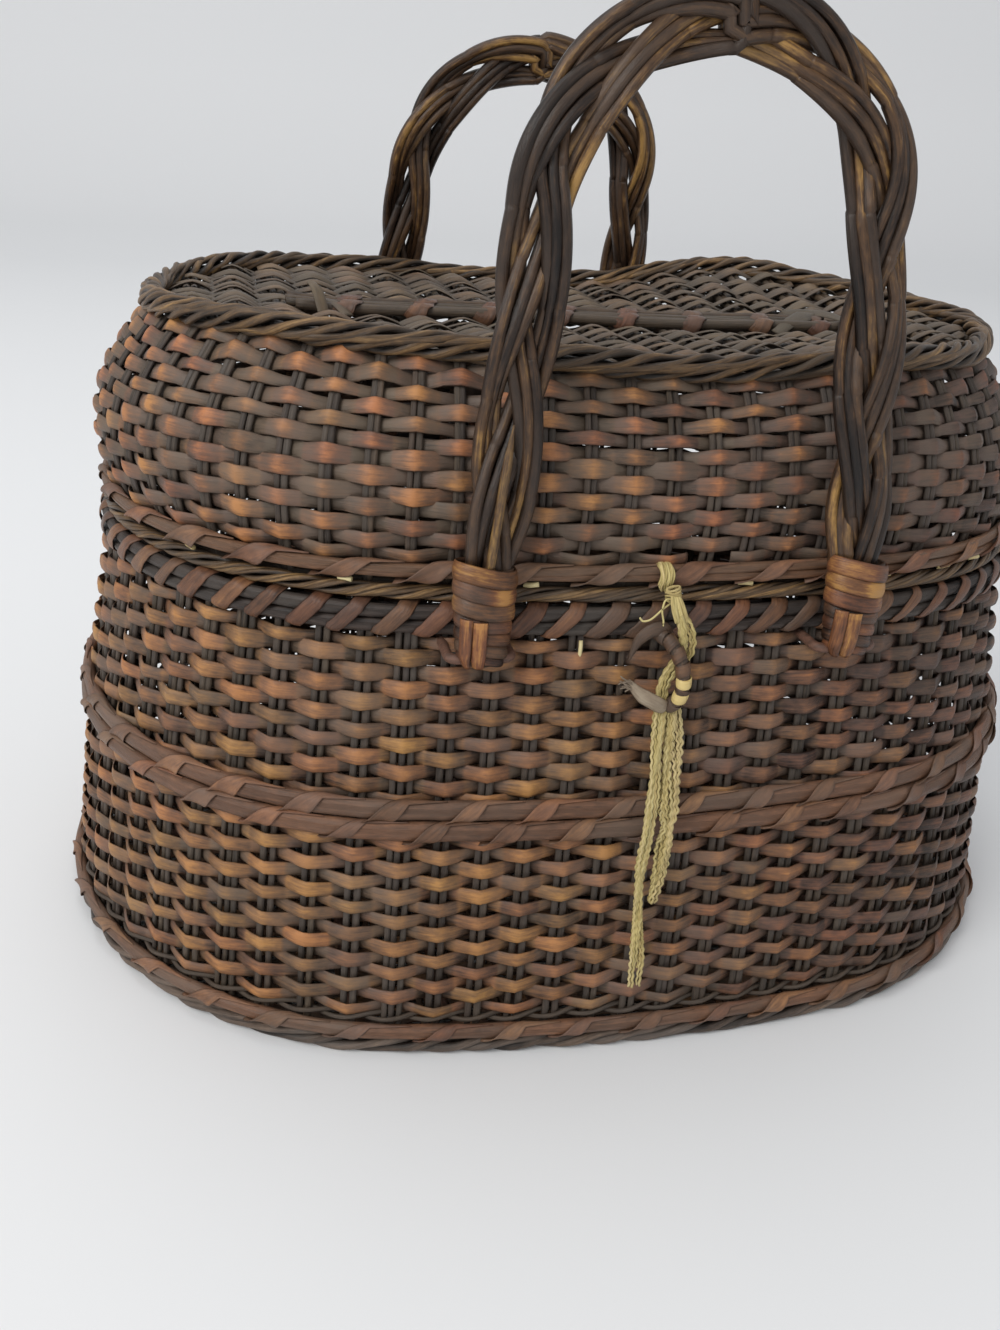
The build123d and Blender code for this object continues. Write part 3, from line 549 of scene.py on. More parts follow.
for name, z, proud, high, start in (
        ("foot_rod", FOOT_ROD_Z, 1.6, 2.6, 0.2), ("waist_rod_lower", WAIST_LOW_Z, 1.5, 3.35, 0.0),
        ("waist_rod_upper", WAIST_HIGH_Z, 1.5, 3.35, 0.5)):
    piece = Piece()
    grow = body_grow(z) + proud
    ring_rod(piece, grow, z, high, 2.3, 40, start, 0.42, 0.55)
    ring_bands(piece, grow, z, high, 2.3, 40, start, 5.8, 12.0, 12.0)
    piece.build(name, "basket", "rod_cane", ROD, [name.replace("rod", "hoop")])

for place, z, grow in (("lower", RIM_Z - 2.2, -0.35), ("upper", RIM_Z + 2.2, -0.35), ("inner", RIM_Z, -7.35)):
    piece = Piece()
    ring_rod(piece, grow, z, 2.2, 2.0, 24, rng.uniform(), 0.3, 0.4)
    piece.build(f"rim_rod_{place}", "basket", "rod_cane", RIM, [f"rim_hoop_{place}"])

# the rim's wrapping goes once round both outer rods, over the top, down the inside and back under
LOOP = np.array([(-2.2, 141.5), (0.4, 141.2), (2.0, 142.6), (2.4, 146.2), (2.1, 150.0), (0.2, 151.5),
    (-3.6, 151.6), (-8.0, 150.6), (-9.9, 147.6), (-9.2, 143.2), (-6.0, 141.4), (-2.2, 141.5)])
SLANT = [0.0, 0.3, 1.0, 4.2, 7.4, 8.6, 9.6, 10.4, 11.2, 12.0, 12.4, 12.7]
corners = np.arange(len(LOOP))
fine = np.linspace(0, len(LOOP) - 1, 45)
g, z = (np.interp(fine, corners, column) for column in LOOP.T)
g[2:-2], z[2:-2] = (np.convolve(values, np.ones(5) / 5, "valid") for values in (g, z))
move = np.interp(fine, corners, SLANT)
binding = Piece()
for k in range(STAKES):
    p, out = oval((k + 0.25) / STAKES + (move + rng.uniform(-0.9, 0.9)) / PERIMETER, g, z)
    away = unit(out * (g + 3.7)[:, None] * 1.3 + UP * (z - RIM_Z)[:, None])
    binding.ribbon(p, away, 4.8 * rng.uniform(0.8, 1.25), 0.7, some_tone(0.4, 0.35, 0.6, 0.15), crown=0.15)
binding.build("rim_wrapping", "basket", "binding_cane", WRAP, ["rim_binding"])

piece = Piece()
grow = lid_grow(LID_ROD_Z) + 1.9
p, out = oval(np.linspace(0, 1, 721), grow, LID_ROD_Z)
apart = 1.0 + 0.5 * np.clip(p[:, 0] / 60, -1, 1)
for side in (-1, 1):
    piece.tube(p + UP * (side * apart)[:, None], out, 1.6, 9, some_tone(0.45, 0.1, 0.55), 1.2)
ring_bands(piece, grow, LID_ROD_Z, 2.7, 2.0, 36, 0.15, 6.2, 17.0, 10.0)
piece.build("lid_rod", "lid", "rod_cane", ROD, ["lid_rim_hoop"])

plait = Piece()
for shift in (0.0, 0.34):
    ring_rope(plait, LID_FOOT_GROW + 1.6, PLAIT_Z, 0.8, 1.55, 4, 46.0, 0.45, 0.8, shift=shift)
# a dark cane behind the plait: painted shade that closes the gap above the rim
p, out = oval(np.linspace(0, 1, 541), LID_FOOT_GROW - 2.6, PLAIT_Z + 0.8)
plait.tube(p, out, 1.9, 9, (0.1, 0.3, 0.3, 0.5))
plait.build("lid_plait", "lid", "rope_cane", ROPE, ["lid_lower_plait"])

border = Piece()
ring_rope(border, LID_SHOULDER_GROW - 1.0, BORDER_Z, 1.22, 2.8, 8, 80.0, 0.3, 0.85, groove_shade=1.0)
border.build("lid_border", "lid", "rope_cane", ROPE, ["lid_top_border"], lid_shape)

stubs = Piece()
for x in (-139, -96, -43, 23, 71, 96, 112, 141):
    t = front_share(x)
    p, out = oval(np.array([t, t + 2.2 / PERIMETER, t + 4.2 / PERIMETER]), LID_FOOT_GROW + 2.2, 157.4)
    p = p + out * np.array([[0.0], [0.7], [1.3]]) + UP * np.array([[0.0], [0.2], [0.4 + 0.3 * math.sin(x)]])
    stubs.tube(p, UP, 0.8, 7, (0.5 + 0.4 * math.sin(3 * x), 1.0, 0.0, 1), caps=True)
stubs.build("cut_stake_ends", "lid", "stake_cane", STRAW)


# ---- flat weaves: lid top and base
def flat_weave(name, body, material, nodes, grow, z, pitch, stick_pitch, stick_radius, amp, width=5.0,
        gap=0.0, gap_reach=0.0, shape=None):
    """Rows of splints along X over pairs of sticks along Y, inside an oval; the spine lies in the gap."""
    piece, count, sticks = Piece(), int((HALF_DEPTH + grow) / pitch), int(HALF_LENGTH / stick_pitch)
    quarter, _ = oval(np.linspace(0, 0.25, 2001), grow, 0.0)
    for row in range(-count, count + 1):
        y = row * pitch
        reach = np.interp(abs(y), quarter[:, 1], quarter[:, 0], right=0) - 1.0
        if reach < 12:
            continue
        for low, high in ((-reach, -gap_reach), (gap_reach, reach)) if abs(y) < gap else ((-reach, reach),):
            x = np.arange(low, high, stick_pitch / 8)
            u = x / stick_pitch
            k = np.round(u).astype(int)

            def each(least, most):
                """A random value for each stick, at every point of the row."""
                return rng.uniform(least, most, 200)[k + 60]

            wave = np.cos(math.pi * (u + row))
            ridge = np.where(np.cos(math.pi * (k + row)) > 0, 1, -1) * (1 - 2 * np.abs(u - k))
            lift = amp * each(0.65, 1.25)
            sway = 0.5 * np.sin(x / 31 + row) + 0.35 * np.sin(x / 11 + 2.3 * row)
            p = stacked(x, y + sway, z + lift * (0.5 * wave + 0.5 * ridge))
            # wear lightens the over-passes, and painted shade darkens the under-passes
            tone = stacked(each(0.0, 0.6), np.clip(0.4 + 0.6 * wave, 0, 1), 0.35 + each(-0.2, 0.3),
                each(0.1, 0.9))
            wide = width * rng.uniform(0.85, 1.08) * (0.82 + 0.18 * np.abs(wave))
            piece.ribbon(p, UP, wide, 0.8, tone, tilt=each(-0.25, 0.25), crown=0.25, caps=True)
    for k in range(-sticks, sticks + 1):
        for x in (k * stick_pitch - 1.3, k * stick_pitch + 1.3):
            if abs(x) > quarter[0, 0] - 4:
                continue
            reach = np.interp(abs(x), quarter[::-1, 0], quarter[::-1, 1]) - 0.5
            parted = gap and abs(x) < gap_reach + 4
            for low, high in ((-reach, -gap + 2), (gap - 2, reach)) if parted else ((-reach, reach),):
                if high - low > 8:
                    path = stacked(x, np.linspace(low, high, 20), z)
                    piece.tube(path, UP, stick_radius, 7, some_tone(0.35, 0.3, 0.4, 0.3), caps=True)
    piece.build(name, body, "weave", material, nodes, shape)


flat_weave("lid_top_weave", "lid", TOP_WEAVE, ["lid_top_panel"], LID_SHOULDER_GROW - 4.6, TOP_WEAVE_Z, 4.5,
    15.0, 1.3, 2.5, 5.6, gap=10.5, gap_reach=97.0, shape=lid_shape)
flat_weave("base_weave", "basket", WEAVE, ["base_panel"], 14.4, 3.9, 5.0, 13.0, 1.15, 1.1)

spine = Piece()
for y, r, reach in ((-7.9, 1.9, 101), (-4.7, 1.25, 104), (-2.3, 1.15, 99), (0.0, 1.25, 104), (2.3, 1.15, 102),
        (4.7, 1.25, 98), (7.9, 1.8, 103)):
    x = np.linspace(-reach, reach - 2, 70)
    path = stacked(x, y + 0.4 * np.sin(x / 25 + y), SPINE_Z + 0.35 * np.sin(x / 18 + 2 * y))
    spine.tube(path, UP, r * (1 + 0.05 * np.sin(x / 9 + y)), 9, some_tone(0.3, 0.2, 0.45, 0.35), caps=True)
spine.build("lid_spine", "lid", "rod_cane", TOP_ROD, ["lid_spine_sticks"], lid_shape)

# splints that come up on both sides of the spine and end in a point on it
bands = Piece()
share = np.linspace(0, 1, 18)
stops = [0, 0.18, 0.4, 0.7, 1]
y = eased(np.interp(share, stops, [-9.3, -10.4, -8.6, -4.6, -1.2]))
z = eased(np.interp(share, stops, [215.2, 217.6, 220.6, 220.3, 219.8]))
away = unit(stacked(0.0, np.where(share < 0.3, -1.0, -0.15), np.where(share < 0.2, 0.1, 1.0)))
wide = 6.6 * np.where(share < 0.6, 1.0, 1 - (share - 0.6) / 0.4 * 0.85)
for k in range(8):
    for row in (0, 1):
        x = (k - 3.5) * 25.0 + 3.0 * row + rng.uniform(-1.5, 1.5)
        path = stacked(x + 9.0 * share, y + 10.6 * row, z)
        bands.ribbon(path, away, wide, 0.7, some_tone(0.3, 0.2, 0.55, 0.3), crown=0.12, caps=True)
bands.build("spine_bands", "lid", "binding_cane", WRAP, ["lid_spine_bands"], lid_shape)

# splint ends that have worked loose at both ends of the spine
loose = Piece()
for points, widths, tone in (
        ([(-92, -13, 216.5), (-93, -11, 220.5), (-94, -8, 224.0), (-95.5, -4.5, 225.2)],
         (4.4, 4.6, 4.4, 3.6), (0.9, 0.7, 0.75, 1)),
        ([(-84, -14, 216.5), (-87, -9, 219.5), (-90, -2, 220.3), (-93, 5, 218.5)],
         (4.2, 4.4, 4.0, 2.0), (0.5, 0.6, 0.3, 1)),
        ([(70, -14, 216.5), (78, -8, 219.8), (88, 0, 221.6), (97, 7, 220.6)],
         (4.4, 5.2, 6.2, 2.2), (0.35, 0.5, 0.6, 1)),
        ([(86, 14, 219.5), (95, 10, 221.4), (103, 2, 220.6), (108, -9, 217.2)],
         (3.4, 4.4, 4.8, 3.4), (0.3, 0.5, 0.6, 1))):
    free_splint(loose, points, np.linspace(0, 1, 4), widths, 0.8, tone, (0.2, -0.5, 1.0), count=16, rounds=4)
loose.build("loose_splints", "lid", "weave", TOP_WEAVE, shape=lid_shape)

# ---- handles
HALF_SPACING, GRIP_SPACING, LEG_REACH, STRAND_FOOT = 56.7, 46.5, 124.0, 15.0
PIVOT_Z = 139.4
BRAID_TURNS, BRAID_HALF, BRAID_DEPTH, CANE_R = 2.5, 6.2, 2.5, 1.74
# side of the basket, distance of the pivot from its middle, and degrees of lean
HANDLES = {"front": (-1, 120.114, 5.0), "back": (1, 124.214, 15.0)}


def handle_line(run):
    """Points and sideways normals of the handle's middle line at runs from its left foot, and its length."""
    drop_in, climb = HALF_SPACING - GRIP_SPACING, LEG_REACH - STRAND_FOOT
    leg = math.hypot(climb, drop_in)
    half_turn = math.acos(drop_in / leg)
    radius = GRIP_SPACING / math.sin(half_turn)
    total = 2 * (leg + radius * half_turn)
    mirrored = run > total / 2
    r = np.where(mirrored, total - run, run)
    up_leg = np.minimum(r, leg) / leg
    start = math.pi / 2 + half_turn
    a = start - np.maximum(r - leg, 0) / radius
    x = -HALF_SPACING + drop_in * up_leg + radius * (np.cos(a) - math.cos(start))
    z = STRAND_FOOT + climb * up_leg + radius * (np.sin(a) - math.sin(start))
    flip = np.where(mirrored, -1.0, 1.0)
    return stacked(x * flip, 0.0, z), stacked(-np.cos(a), 0.0, -np.sin(a) * flip), total


def handle_frame(side, pivot, lean):
    """Functions that take points and directions in a handle's own frame to the shared frame."""
    a = math.radians(side * lean)
    turn = np.array([[1, 0, 0], [0, math.cos(a), math.sin(a)], [0, -math.sin(a), math.cos(a)]])
    return lambda p: p @ turn + np.array([0, side * pivot, PIVOT_Z]), lambda v: v @ turn


def braid(name, side, place, aim):
    """Three strands of three canes each, plaited over and under."""
    total = handle_line(np.zeros(1))[2]
    run = np.linspace(0, total, 460)
    c, n, _ = handle_line(run)
    depth = np.array([0, 1.0, 0])
    edge = np.minimum(run, total - run)
    spread = np.clip((edge - 4) / 30, 0, 1)
    spread = 0.66 + 0.34 * spread * spread * (3 - 2 * spread)
    for g, letter in enumerate("abc"):
        piece = Piece()
        phase = TAU * (BRAID_TURNS * run / total + g / 3) + 2.2
        edgeways = 1 - np.abs(np.cos(phase))
        lateral = BRAID_HALF * np.sin(phase) * spread
        deep = BRAID_DEPTH * np.sin(2 * phase) * (0.4 + 0.6 * spread)
        centre = c + n * lateral[:, None] + depth * deep[:, None]
        across = unit(np.cross(unit(np.gradient(centre, axis=0)), depth))
        for j in (-1, 0, 1):
            wob = 0.3 * np.sin(run / 17 + 3 * g + 2 * j) + 0.15 * np.sin(run / 7 + g + j)
            sep = 3.0 * (1 - 0.45 * edgeways) * (0.72 + 0.28 * (spread - 0.66) / 0.34)
            p = centre + across * (j * sep + wob)[:, None]
            sink = 0.3 * abs(j) * np.sign(deep) - j * 1.3 * edgeways * np.sign(np.sin(phase))
            p = p - depth * sink[:, None]
            radius = CANE_R * (1 + 0.07 * np.sin(run / 23 + j + g) + 0.04 * np.sin(run / 5.3 + 2 * g + j))
            knot = (run - total * rng.uniform(0.05, 0.95)) / 3.0
            radius = radius * (1 + 0.12 * np.exp(-knot * knot))
            tone = stacked(0.5 + rng.uniform(-0.3, 0.45) + 0.25 * np.sin(run / 40 + rng.uniform(0, 6)),
                np.clip(0.5 - 0.3 * side * np.sin(2 * phase), 0, 1),
                0.15 + 0.3 * np.sin(run / 33 + rng.uniform(0, 6)), 0.5)
            # painted shade on the sides of each cane, where it presses on its neighbours
            piece.tube(place(p), aim(depth), radius, 10, tone, caps=True, groove_shade=0.8, both=True)
        if letter == "a":
            # a cane that was cut short and ends in a point beside the strands
            q = np.linspace(2, 52, 24)
            c2, n2, _ = handle_line(q)
            p = c2 + n2 * (-1.2 + 0.02 * q)[:, None] + depth * side * 4.2
            piece.tube(place(p), aim(depth), 1.35 * np.clip((54 - q) / 12, 0.12, 1), 8,
                some_tone(0.6, 0.1, 0.7, 0.1), caps=True)
        node = f"{name}_handle_strand_{letter}"
        piece.build(f"{name}_braid_{letter}", f"{name}_handle", "braid_cane", BRAID, [node])


def cuff_section(z):
    """Half width and half depth of a cuff at heights above the pivot."""
    wide = np.interp(z, [0, 3, 8, 16, 28], [6.2, 7.3, 7.8, 8.1, 8.5])
    return wide, np.interp(z, [0, 4, 9, 28], [3.8, 4.9, 5.5, 6.2])


def cuff(name, side, place, aim, way):
    """Splints wound round the strand ends, and folded under the pivot bar."""
    piece = Piece()
    cx = way * HALF_SPACING
    # the core inside the windings, open at its top and rounded below
    z = np.concatenate([[-2.4, -2.0, -1.0], np.linspace(0.5, 27.0, 14)])
    a, b = cuff_section(z)
    close = np.interp(z, [-2.4, -2.0, -1.0, 0.5], [0.25, 0.6, 0.88, 1.0])
    turn = np.arange(24) * TAU / 24
    a, b, z = a[:, None], b[:, None], z[:, None]
    close = close[:, None]
    ring = stacked(cx + (a - 0.4) * close * np.cos(turn), (b - 0.4) * close * np.sin(turn), z)
    inner = stacked(cx + (a[-1] - 1.2) * np.cos(turn), (b[-1] - 1.2) * np.sin(turn), 27.0)[None]
    floor_ring = inner * [1, 1, 0] + [0, 0, 17.0]
    shell = np.concatenate([ring, inner, floor_ring])
    piece.rings(place(shell), np.arange(len(shell)) * 2.0, turn[None] * 5, (0.15, 0.15, 0.3, 1), caps=True)
    # windings: three wide ones at the top, narrower ones below that show beside the upright splints
    for k, (level, wide) in enumerate((
            (25.4, 5.3), (20.6, 5.2), (15.8, 5.2), (11.4, 4.2), (7.6, 4.0), (3.9, 4.0), (0.9, 3.0))):
        turn = np.linspace(0, TAU, 49) + 2.2
        z = level - 1.3 * np.cos(turn) + 0.25 * np.sin(2 * turn + k)
        a, b = cuff_section(z)
        proud = 0.5 if k < 3 else 0.05
        p = stacked(cx + (a + proud) * np.cos(turn), (b + proud) * np.sin(turn), z)
        away = unit(stacked(np.cos(turn) / a, np.sin(turn) / b, 0.0))
        tone = np.tile(some_tone(0.4, 0.3, 0.6 if k < 3 else 0.35, 0.2), (49, 1))
        tone[:, 0] += 0.3 * np.sin(turn * 2 + k)
        if k == 1:
            # a worn yellow patch towards the right of the front
            patch = np.exp(-((np.abs((turn - TAU / 4 - 0.5) % TAU - TAU / 2) / 0.45) ** 2))
            tone[:, :3] += patch[:, None] * [0.9, 0.6, -0.6]
        piece.ribbon(place(p), aim(away), wide, 0.8, tone, tilt=0.07, crown=0.12)
    # upright splints on the lower left, tucked under the third winding above and folded in below
    flip = np.array([1.0, -side, 1.0])
    for x, top, wide, pale in ((-6.0, 13.5, 4.2, 0.3), (-2.2, 12.8, 4.4, 0.6)):
        zs = np.linspace(top, -1.6, 22)
        a, b = cuff_section(zs)
        fold = np.clip((1.5 - zs) / 4.0, 0, 1)
        reach = (b + 1.0) * np.sqrt(np.clip(1 - (x / (a + 1.6)) ** 2, 0.06, 1)) * (1 - 0.45 * fold ** 2)
        p = stacked(cx + x * (1 - 0.25 * fold), -reach, zs)
        away = unit(stacked(x / 7.0, -reach / 5.0, -fold))
        tone = np.tile(some_tone(pale, 0.1, 0.75, 0.0), (22, 1))
        tone[:3, 0] += 0.3
        wide = wide * (1 - 0.3 * fold)
        piece.ribbon(place(p * flip), aim(away * flip), wide, 0.9, tone, crown=0.25, caps=True)
    hand = "left" if way < 0 else "right"
    piece.build(f"{name}_{hand}_cuff", f"{name}_handle", "binding_cane", CUFF, [f"{name}_handle_{hand}_cuff"])


for name, (side, pivot, lean) in HANDLES.items():
    place, aim = handle_frame(side, pivot, lean)
    braid(name, side, place, aim)
    for way in (-1, 1):
        cuff(name, side, place, aim, way)

# ---- clasp and string
CLASP_SIDE = unit(np.array([0.85, 0.5, 0.0]))
CLASP_POINTS = [(-3.5, -112.5, 143.0), (-2.4, -118.6, 145.2), (0.6, -122.2, 143.4), (3.6, -124.4, 138.6),
    (5.0, -125.2, 132.0), (4.6, -124.4, 125.8), (2.6, -120.4, 121.2), (0.6, -113.6, 120.4)]
clasp = Piece()
clasp_path = soft_path(CLASP_POINTS, 61, 6) - np.array([1.0, 0, 0])
clasp.tube(clasp_path, CLASP_SIDE, 1.9, 10, (0.1, 0.2, 0.3, 1), 1.1, caps=True)
clasp.build("clasp_core", "basket", "rod_cane", ROD, ["clasp_loop"])

wraps, pale_wraps, frayed = Piece(), Piece(), Piece()
# point of the clasp's path where each turn lies, its width and its tone; the two brightest are pale new cane
for target, at, wide, tone in (
        (wraps, 11, 3.9, (0.1, 0.25, 0.4, 1)), (wraps, 17, 4.0, (0.25, 0.4, 0.3, 1)),
        (wraps, 23, 4.0, (0.3, 0.5, 0.3, 1)), (wraps, 29, 3.9, (0.35, 0.6, 0.3, 1)),
        (pale_wraps, 34, 3.2, (0.95, 1.0, 0.0, 1)), (wraps, 38, 1.7, (0.1, 0.2, 0.2, 1)),
        (pale_wraps, 41, 3.4, (1.0, 1.0, 0.0, 1)), (wraps, 47, 3.8, (0.1, 0.3, 0.5, 1))):
    t = unit(clasp_path[at + 1] - clasp_path[at - 1])
    e = unit(np.cross(t, CLASP_SIDE))
    turn = np.linspace(0, TAU, 29)
    away = swing(e, CLASP_SIDE, turn)
    path = clasp_path[at] + away * 2.1 + t * (0.5 * np.sin(turn + at))[:, None]
    target.ribbon(path, away, wide, 0.5, tone, crown=0.0)
# broken splint ends: one curls down from the loop's top, one sticks out grey and frayed at its foot
free_splint(wraps, [(0.5, -117.5, 143.5), (-2.5, -120.4, 147.4), (-6.5, -120.6, 147.2),
    (-10.0, -119.8, 143.6), (-12.0, -119.4, 136.5)],
    [0, 0.3, 0.7, 1], [3.2, 4.8, 3.8, 0.5], 0.8, (0.12, 0.3, 0.35, 1), (-0.3, -1.0, 0.5), 0.3, 0.35)
free_splint(frayed, [(3.0, -118.5, 121.6), (0.2, -123.0, 122.2), (-4.2, -125.2, 125.4), (-8.6, -124.2, 127.6),
    (-12.8, -123.0, 132.0)],
    [0, 0.35, 0.7, 1], [3.4, 5.0, 4.8, 1.6], 0.9, (0.8, 0.6, 0.3, 1), (0.1, -1.0, 0.35), 0.45, 0.5)
for k in range(14):
    start = np.array([-10.1 - 0.2 * k, -123.4 + 0.25 * math.sin(3 * k),
        129.2 + 0.2 * k + 0.9 * math.sin(1.7 * k)])
    fibre = soft_path([start, start + [-1.2, -0.5, 0.5 + 0.5 * math.sin(k)],
        start + [-3.2, -0.6, 1.0 + 1.3 * math.sin(2.3 * k)]], 8, 2)
    frayed.tube(fibre, UP, 0.22, 5, (0.6, 0.4, 0.95, 1), caps=True)
wraps.build("clasp_wrapping", "basket", "binding_cane", WRAP, ["clasp_wraps"])
pale_wraps.build("clasp_pale_wraps", "basket", "binding_cane", PALE)
frayed.build("clasp_frayed_splint", "basket", "binding_cane", WORN)

chip = Piece()
proud = np.array([1.8, 2.2, 2.3, 2.2, 1.7])
p, out = oval(np.full(5, front_share(-25.0)), proud, np.linspace(141.0, 135.4, 5))
chip.ribbon(p, out, 1.3, 0.6, (0.9, 1.0, 0.0, 1), caps=True)
chip.build("pale_chip", "basket", "stake_cane", STRAW)


def nurbs_points(name, points):
    """The route's smooth line in metres, read from a NURBS spline with these control points."""
    data = bpy.data.curves.new(name, "CURVE")
    data.dimensions = "3D"
    spline = data.splines.new("NURBS")
    spline.points.add(len(points) - 1)
    for point, place in zip(spline.points, points):
        point.co = (*[c * MM for c in place], 1)
    spline.order_u = 3
    spline.use_endpoint_u = True
    spline.resolution_u = 32
    obj = bpy.data.objects.new(name, data)
    mesh = bpy.data.meshes.new_from_object(obj)
    line = np.array([v.co[:] for v in mesh.vertices])
    bpy.data.objects.remove(obj)
    bpy.data.curves.remove(data)
    bpy.data.meshes.remove(mesh)
    return line


def string_tail(tail, route, threads, marks, widths, crimp):
    """Crimped threads along the route, loose at their ends; the widths are half widths at these marks."""
    line = nurbs_points(f"{tail}_route", route) / MM
    n = len(line)
    s = np.linspace(0, 1, n)
    run = run_along(line)
    piece = Piece()
    t = unit(np.gradient(line, axis=0))
    e = unit(np.cross(t, [0, 1.0, 0]))
    f = np.cross(t, e)
    body = np.interp(s, marks, widths)
    for k in range(threads):
        column, layer = (k % 7 - 3) / 3, k // 7
        sway = 0.22 * np.sin(run / 9 + k) + 0.15 * np.sin(run / 4.1 + 2 * k)
        wave = crimp * np.sin(TAU * run / 2.9 + 1.3 * column + 1.5 * layer + 0.8 * np.sin(run / 6 + k))
        x = body * (column + sway) + wave * np.interp(s, [0, 0.1, 1], [0.4, 1, 1])
        y = (layer - 0.8) * 0.75 + 0.25 * np.sin(run / 3.3 + k) + 0.5 * crimp * np.cos(TAU * run / 3.1 + k)
        path = line + e * x[:, None] - f * y[:, None]
        stop = n if k % 3 == 0 else int(n * rng.uniform(0.93, 1.0))
        piece.tube(path[:stop], (0, 1.0, 0), 0.42, 6, some_tone(0.5, 0.35, 0.7, 0.05), caps=True)
    obj = piece.build(f"tie_{tail}_threads", "tie", "string", STRING, [f"tie_{tail}_tail"])


string_tail("left", [
    (0.7, -120.2, 153.4), (2.4, -121.2, 149.5), (4.2, -121.4, 144.5), (4.6, -120.4, 139.6),
    (3.2, -119.2, 135.0), (0.9, -118.9, 131.0), (-0.3, -119.6, 127.0), (-0.7, -121.0, 122.0),
    (-0.6, -122.2, 116.5), (-1.2, -124.9, 108.0), (-2.3, -128.8, 95.5), (-3.2, -131.5, 85.0),
    (-3.8, -131.2, 75.0), (-3.4, -131.3, 65.5), (-2.8, -132.0, 55.5), (-2.1, -133.0, 44.0),
    (-1.6, -133.8, 35.5), (-1.8, -134.4, 27.0)],
    14, [0, 0.06, 0.16, 0.3, 0.45, 0.66, 0.74, 0.78, 0.86, 0.96, 1],
    [1.2, 2.0, 2.1, 1.4, 1.35, 1.35, 1.1, 0.75, 1.2, 2.1, 1.8], 0.2)
string_tail("right", [
    (3.4, -121.0, 122.0), (3.9, -122.2, 115.5), (3.7, -124.8, 107.5), (3.5, -128.7, 95.5),
    (3.3, -131.2, 85.0), (3.2, -131.3, 76.5), (2.5, -131.2, 68.0), (1.3, -131.8, 58.0)],
    16, [0, 0.1, 0.5, 0.58, 0.7, 0.82, 0.93, 1], [1.8, 2.2, 2.2, 1.0, 2.2, 2.1, 1.4, 0.9], 0.3)

# the knot: turns over the lid's rod, a lashing in front of it, and threads that lead down to the tails
knot = Piece()
for k in range(14):
    turn = np.linspace(-2.3, 2.4, 34)
    pinch = np.clip((-turn - 0.6) / 1.7, 0, 1)
    x = -1.6 + (k - 6.5) * 0.29 * (1 - 0.55 * pinch) + 1.4 * pinch + 0.2 * np.sin(turn * 3 + k)
    r = 3.1 + 0.25 * (k % 3)
    path = stacked(x, -111.7 - r * np.cos(turn) - 1.6 * pinch,
        LID_ROD_Z + r * 1.05 * np.sin(turn) - 0.5 - 1.0 * pinch)
    knot.tube(path, (1.0, 0, 0), 0.36, 5, some_tone(0.55, 0.35, 0.7, 0.0))
for k in range(9):
    a = np.linspace(0, TAU, 24)
    round_off = 1 - 0.07 * abs(k - 4.0)
    path = stacked(-0.2 + 2.3 * np.cos(a) * round_off, -117.6 + 1.9 * np.sin(a) * round_off,
        157.0 + (k - 4.0) * 0.4 + 0.7 * np.sin(a + k))
    knot.tube(path, UP, 0.38, 5, some_tone(0.5, 0.35, 0.7, 0.0))
for k in range(9):
    aside = (k - 4) * 0.42
    path = soft_path([(-0.2 + 0.5 * aside, -118.6, 157.6), (0.2 + aside, -120.3 - 0.2 * (k % 2), 155.4),
        (1.0 + 1.1 * aside, -120.9 - 0.3 * (k % 3), 152.6), (2.2 + 1.1 * aside, -121.4, 149.4)], 16, 2)
    knot.tube(path, (0, 1.0, 0), 0.4, 6, some_tone(0.5, 0.35, 0.7, 0.0), caps=True)
for bright, points in (
        (0.8, [(-1.0, -119.2, 155.0), (-4.0, -120.4, 153.6), (-7.2, -120.6, 150.2), (-9.6, -120.2, 149.6),
        (-10.4, -119.8, 150.8)]),
        (0.7, [(-1.4, -119.0, 156.0), (-3.8, -120.6, 156.6), (-4.4, -120.8, 153.0), (-3.0, -120.4, 149.4),
        (-3.4, -120.4, 146.8)])):
    knot.tube(soft_path(points), UP, 0.3, 5, (bright, 0.8, 0, 1), caps=True)
knot.build("tie_knot_threads", "tie", "string", STRING, ["tie_knot"])

# ---- CAD nodes that stay
for node in ("base_long_sticks", "base_cross_sticks", "front_handle_anchors", "back_handle_anchors",
        "hinge_anchors", "hinge_links", "hinge_bar", "hinge_lashings"):
    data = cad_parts[node].data
    data.materials.clear()
    data.materials.append(SOLID_WRAP if node in ("hinge_links", "hinge_lashings") else SOLID_ROD)

# ---- floor, light, camera
# painted light: the paper is made paler up the wall behind, which the lamps light less than the floor
PAPER, PAPER_PAINTED_LIGHT, BACK_FROM, BACK_TO = (0.785, 0.795, 0.805, 1), (0.93, 0.935, 0.94, 1), 1.9, 3.5
STUDIO, STUDIO_POWER = (0.97, 0.98, 1.0, 1), 0.62
# the camera solved from the photograph: turns in radians, place in metres, pixels of a 1000 wide picture
YAW, PITCH, ROLL = 0.221, 0.44, 0.0634
EYE = (-0.1301, -0.4134, 0.2798)
FOCAL, PICTURE_WIDTH, PICTURE_MIDDLE, CENTRE = 1170.0, 1000.0, (500.0, 663.0), (455.0, 665.0)
SENSOR = 36.0


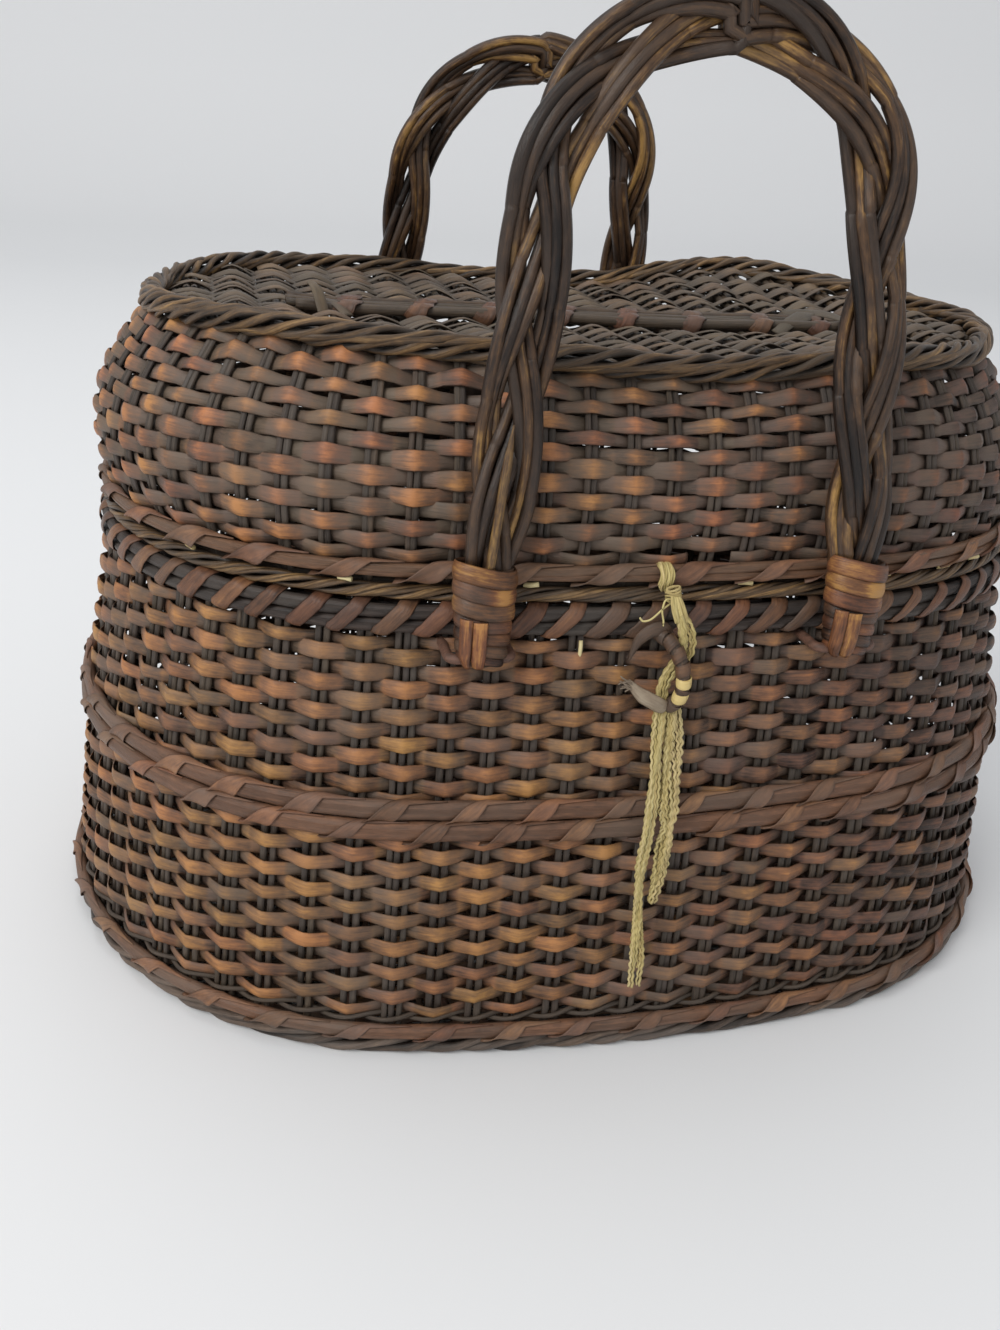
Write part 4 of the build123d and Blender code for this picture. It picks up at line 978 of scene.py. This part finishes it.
def paper_material():
    """White paper that grows paler up the wall behind: painted light that brightens the wall, which the lamps
    light less than the floor.
    """
    mat, add = new_material("floor_white")
    split = add("SeparateXYZ", {0: add("TexCoord", {}).outputs["Object"]})
    back = add("MapRange", {0: split.outputs["Y"], "From Min": BACK_FROM, "From Max": BACK_TO})
    blend = add("Mix", {"A": PAPER, "B": PAPER_PAINTED_LIGHT, "Factor": back.outputs[0]}, data_type="RGBA")
    bsdf = add("BsdfPrincipled", {"Base Color": blend.outputs["Result"], "Roughness": 0.9})
    add("OutputMaterial", {0: bsdf.outputs[0]})
    return mat


# the floor curves up into a wall behind the basket
WIDTH, NEAR, FAR, BEND, WALL = 9.0, -3.5, 2.6, 1.4, 4.5
turn = np.linspace(0, math.pi / 2, 25)
y = np.concatenate([[NEAR], np.linspace(NEAR, FAR, 8)[1:], FAR + BEND * np.sin(turn)[1:], [FAR + BEND]])
z = np.concatenate([np.zeros(8), BEND * (1 - np.cos(turn))[1:], [WALL]])
points = [(x, b, c) for b, c in zip(y, z) for x in (-WIDTH / 2, WIDTH / 2)]
faces = [(2 * k, 2 * k + 1, 2 * k + 3, 2 * k + 2) for k in range(len(y) - 1)]
floor = smooth_object("floor", points, faces, paper_material())

world = bpy.data.worlds.new("studio")
scene.world = world
world.use_nodes = True
soft = world.node_tree.nodes["Background"]
soft.inputs["Color"].default_value = STUDIO
soft.inputs["Strength"].default_value = STUDIO_POWER


def area(name, place, target, size, power, colour=(1, 1, 1)):
    """A round area light at a place, turned to its target."""
    data = bpy.data.lights.new(name, "AREA")
    data.shape = "DISK"
    data.size = size
    data.energy = power
    data.color = colour
    obj = link_object(name, data)
    obj.location = place
    obj.rotation_euler = (Vector(target) - Vector(place)).to_track_quat("-Z", "Y").to_euler()


area("key", (-1.7, -1.2, 1.8), (0, 0, 0.12), 1.5, 40, (1, 0.99, 0.97))
area("top", (-0.2, 0.8, 2.4), (0, 0, 0.1), 1.6, 10)

ahead = np.array([math.sin(YAW) * math.cos(PITCH), math.cos(YAW) * math.cos(PITCH), -math.sin(PITCH)])
level = np.array([math.cos(YAW), -math.sin(YAW), 0.0])
above = np.cross(level, ahead)
right = math.cos(ROLL) * level + math.sin(ROLL) * above
top = -math.sin(ROLL) * level + math.cos(ROLL) * above
camera = bpy.data.cameras.new("camera")
camera.sensor_fit = "HORIZONTAL"
camera.sensor_width = SENSOR
camera.lens = FOCAL / PICTURE_WIDTH * SENSOR
camera.shift_x = (PICTURE_MIDDLE[0] - CENTRE[0]) / PICTURE_WIDTH
camera.shift_y = (PICTURE_MIDDLE[1] - CENTRE[1]) / PICTURE_WIDTH
camera.clip_start = 0.01
cam = link_object("camera", camera)
cam.matrix_world = Matrix([[right[n], top[n], -ahead[n], EYE[n]] for n in range(3)] + [[0, 0, 0, 1]])
scene.camera = cam
scene.view_settings.view_transform = "Standard"
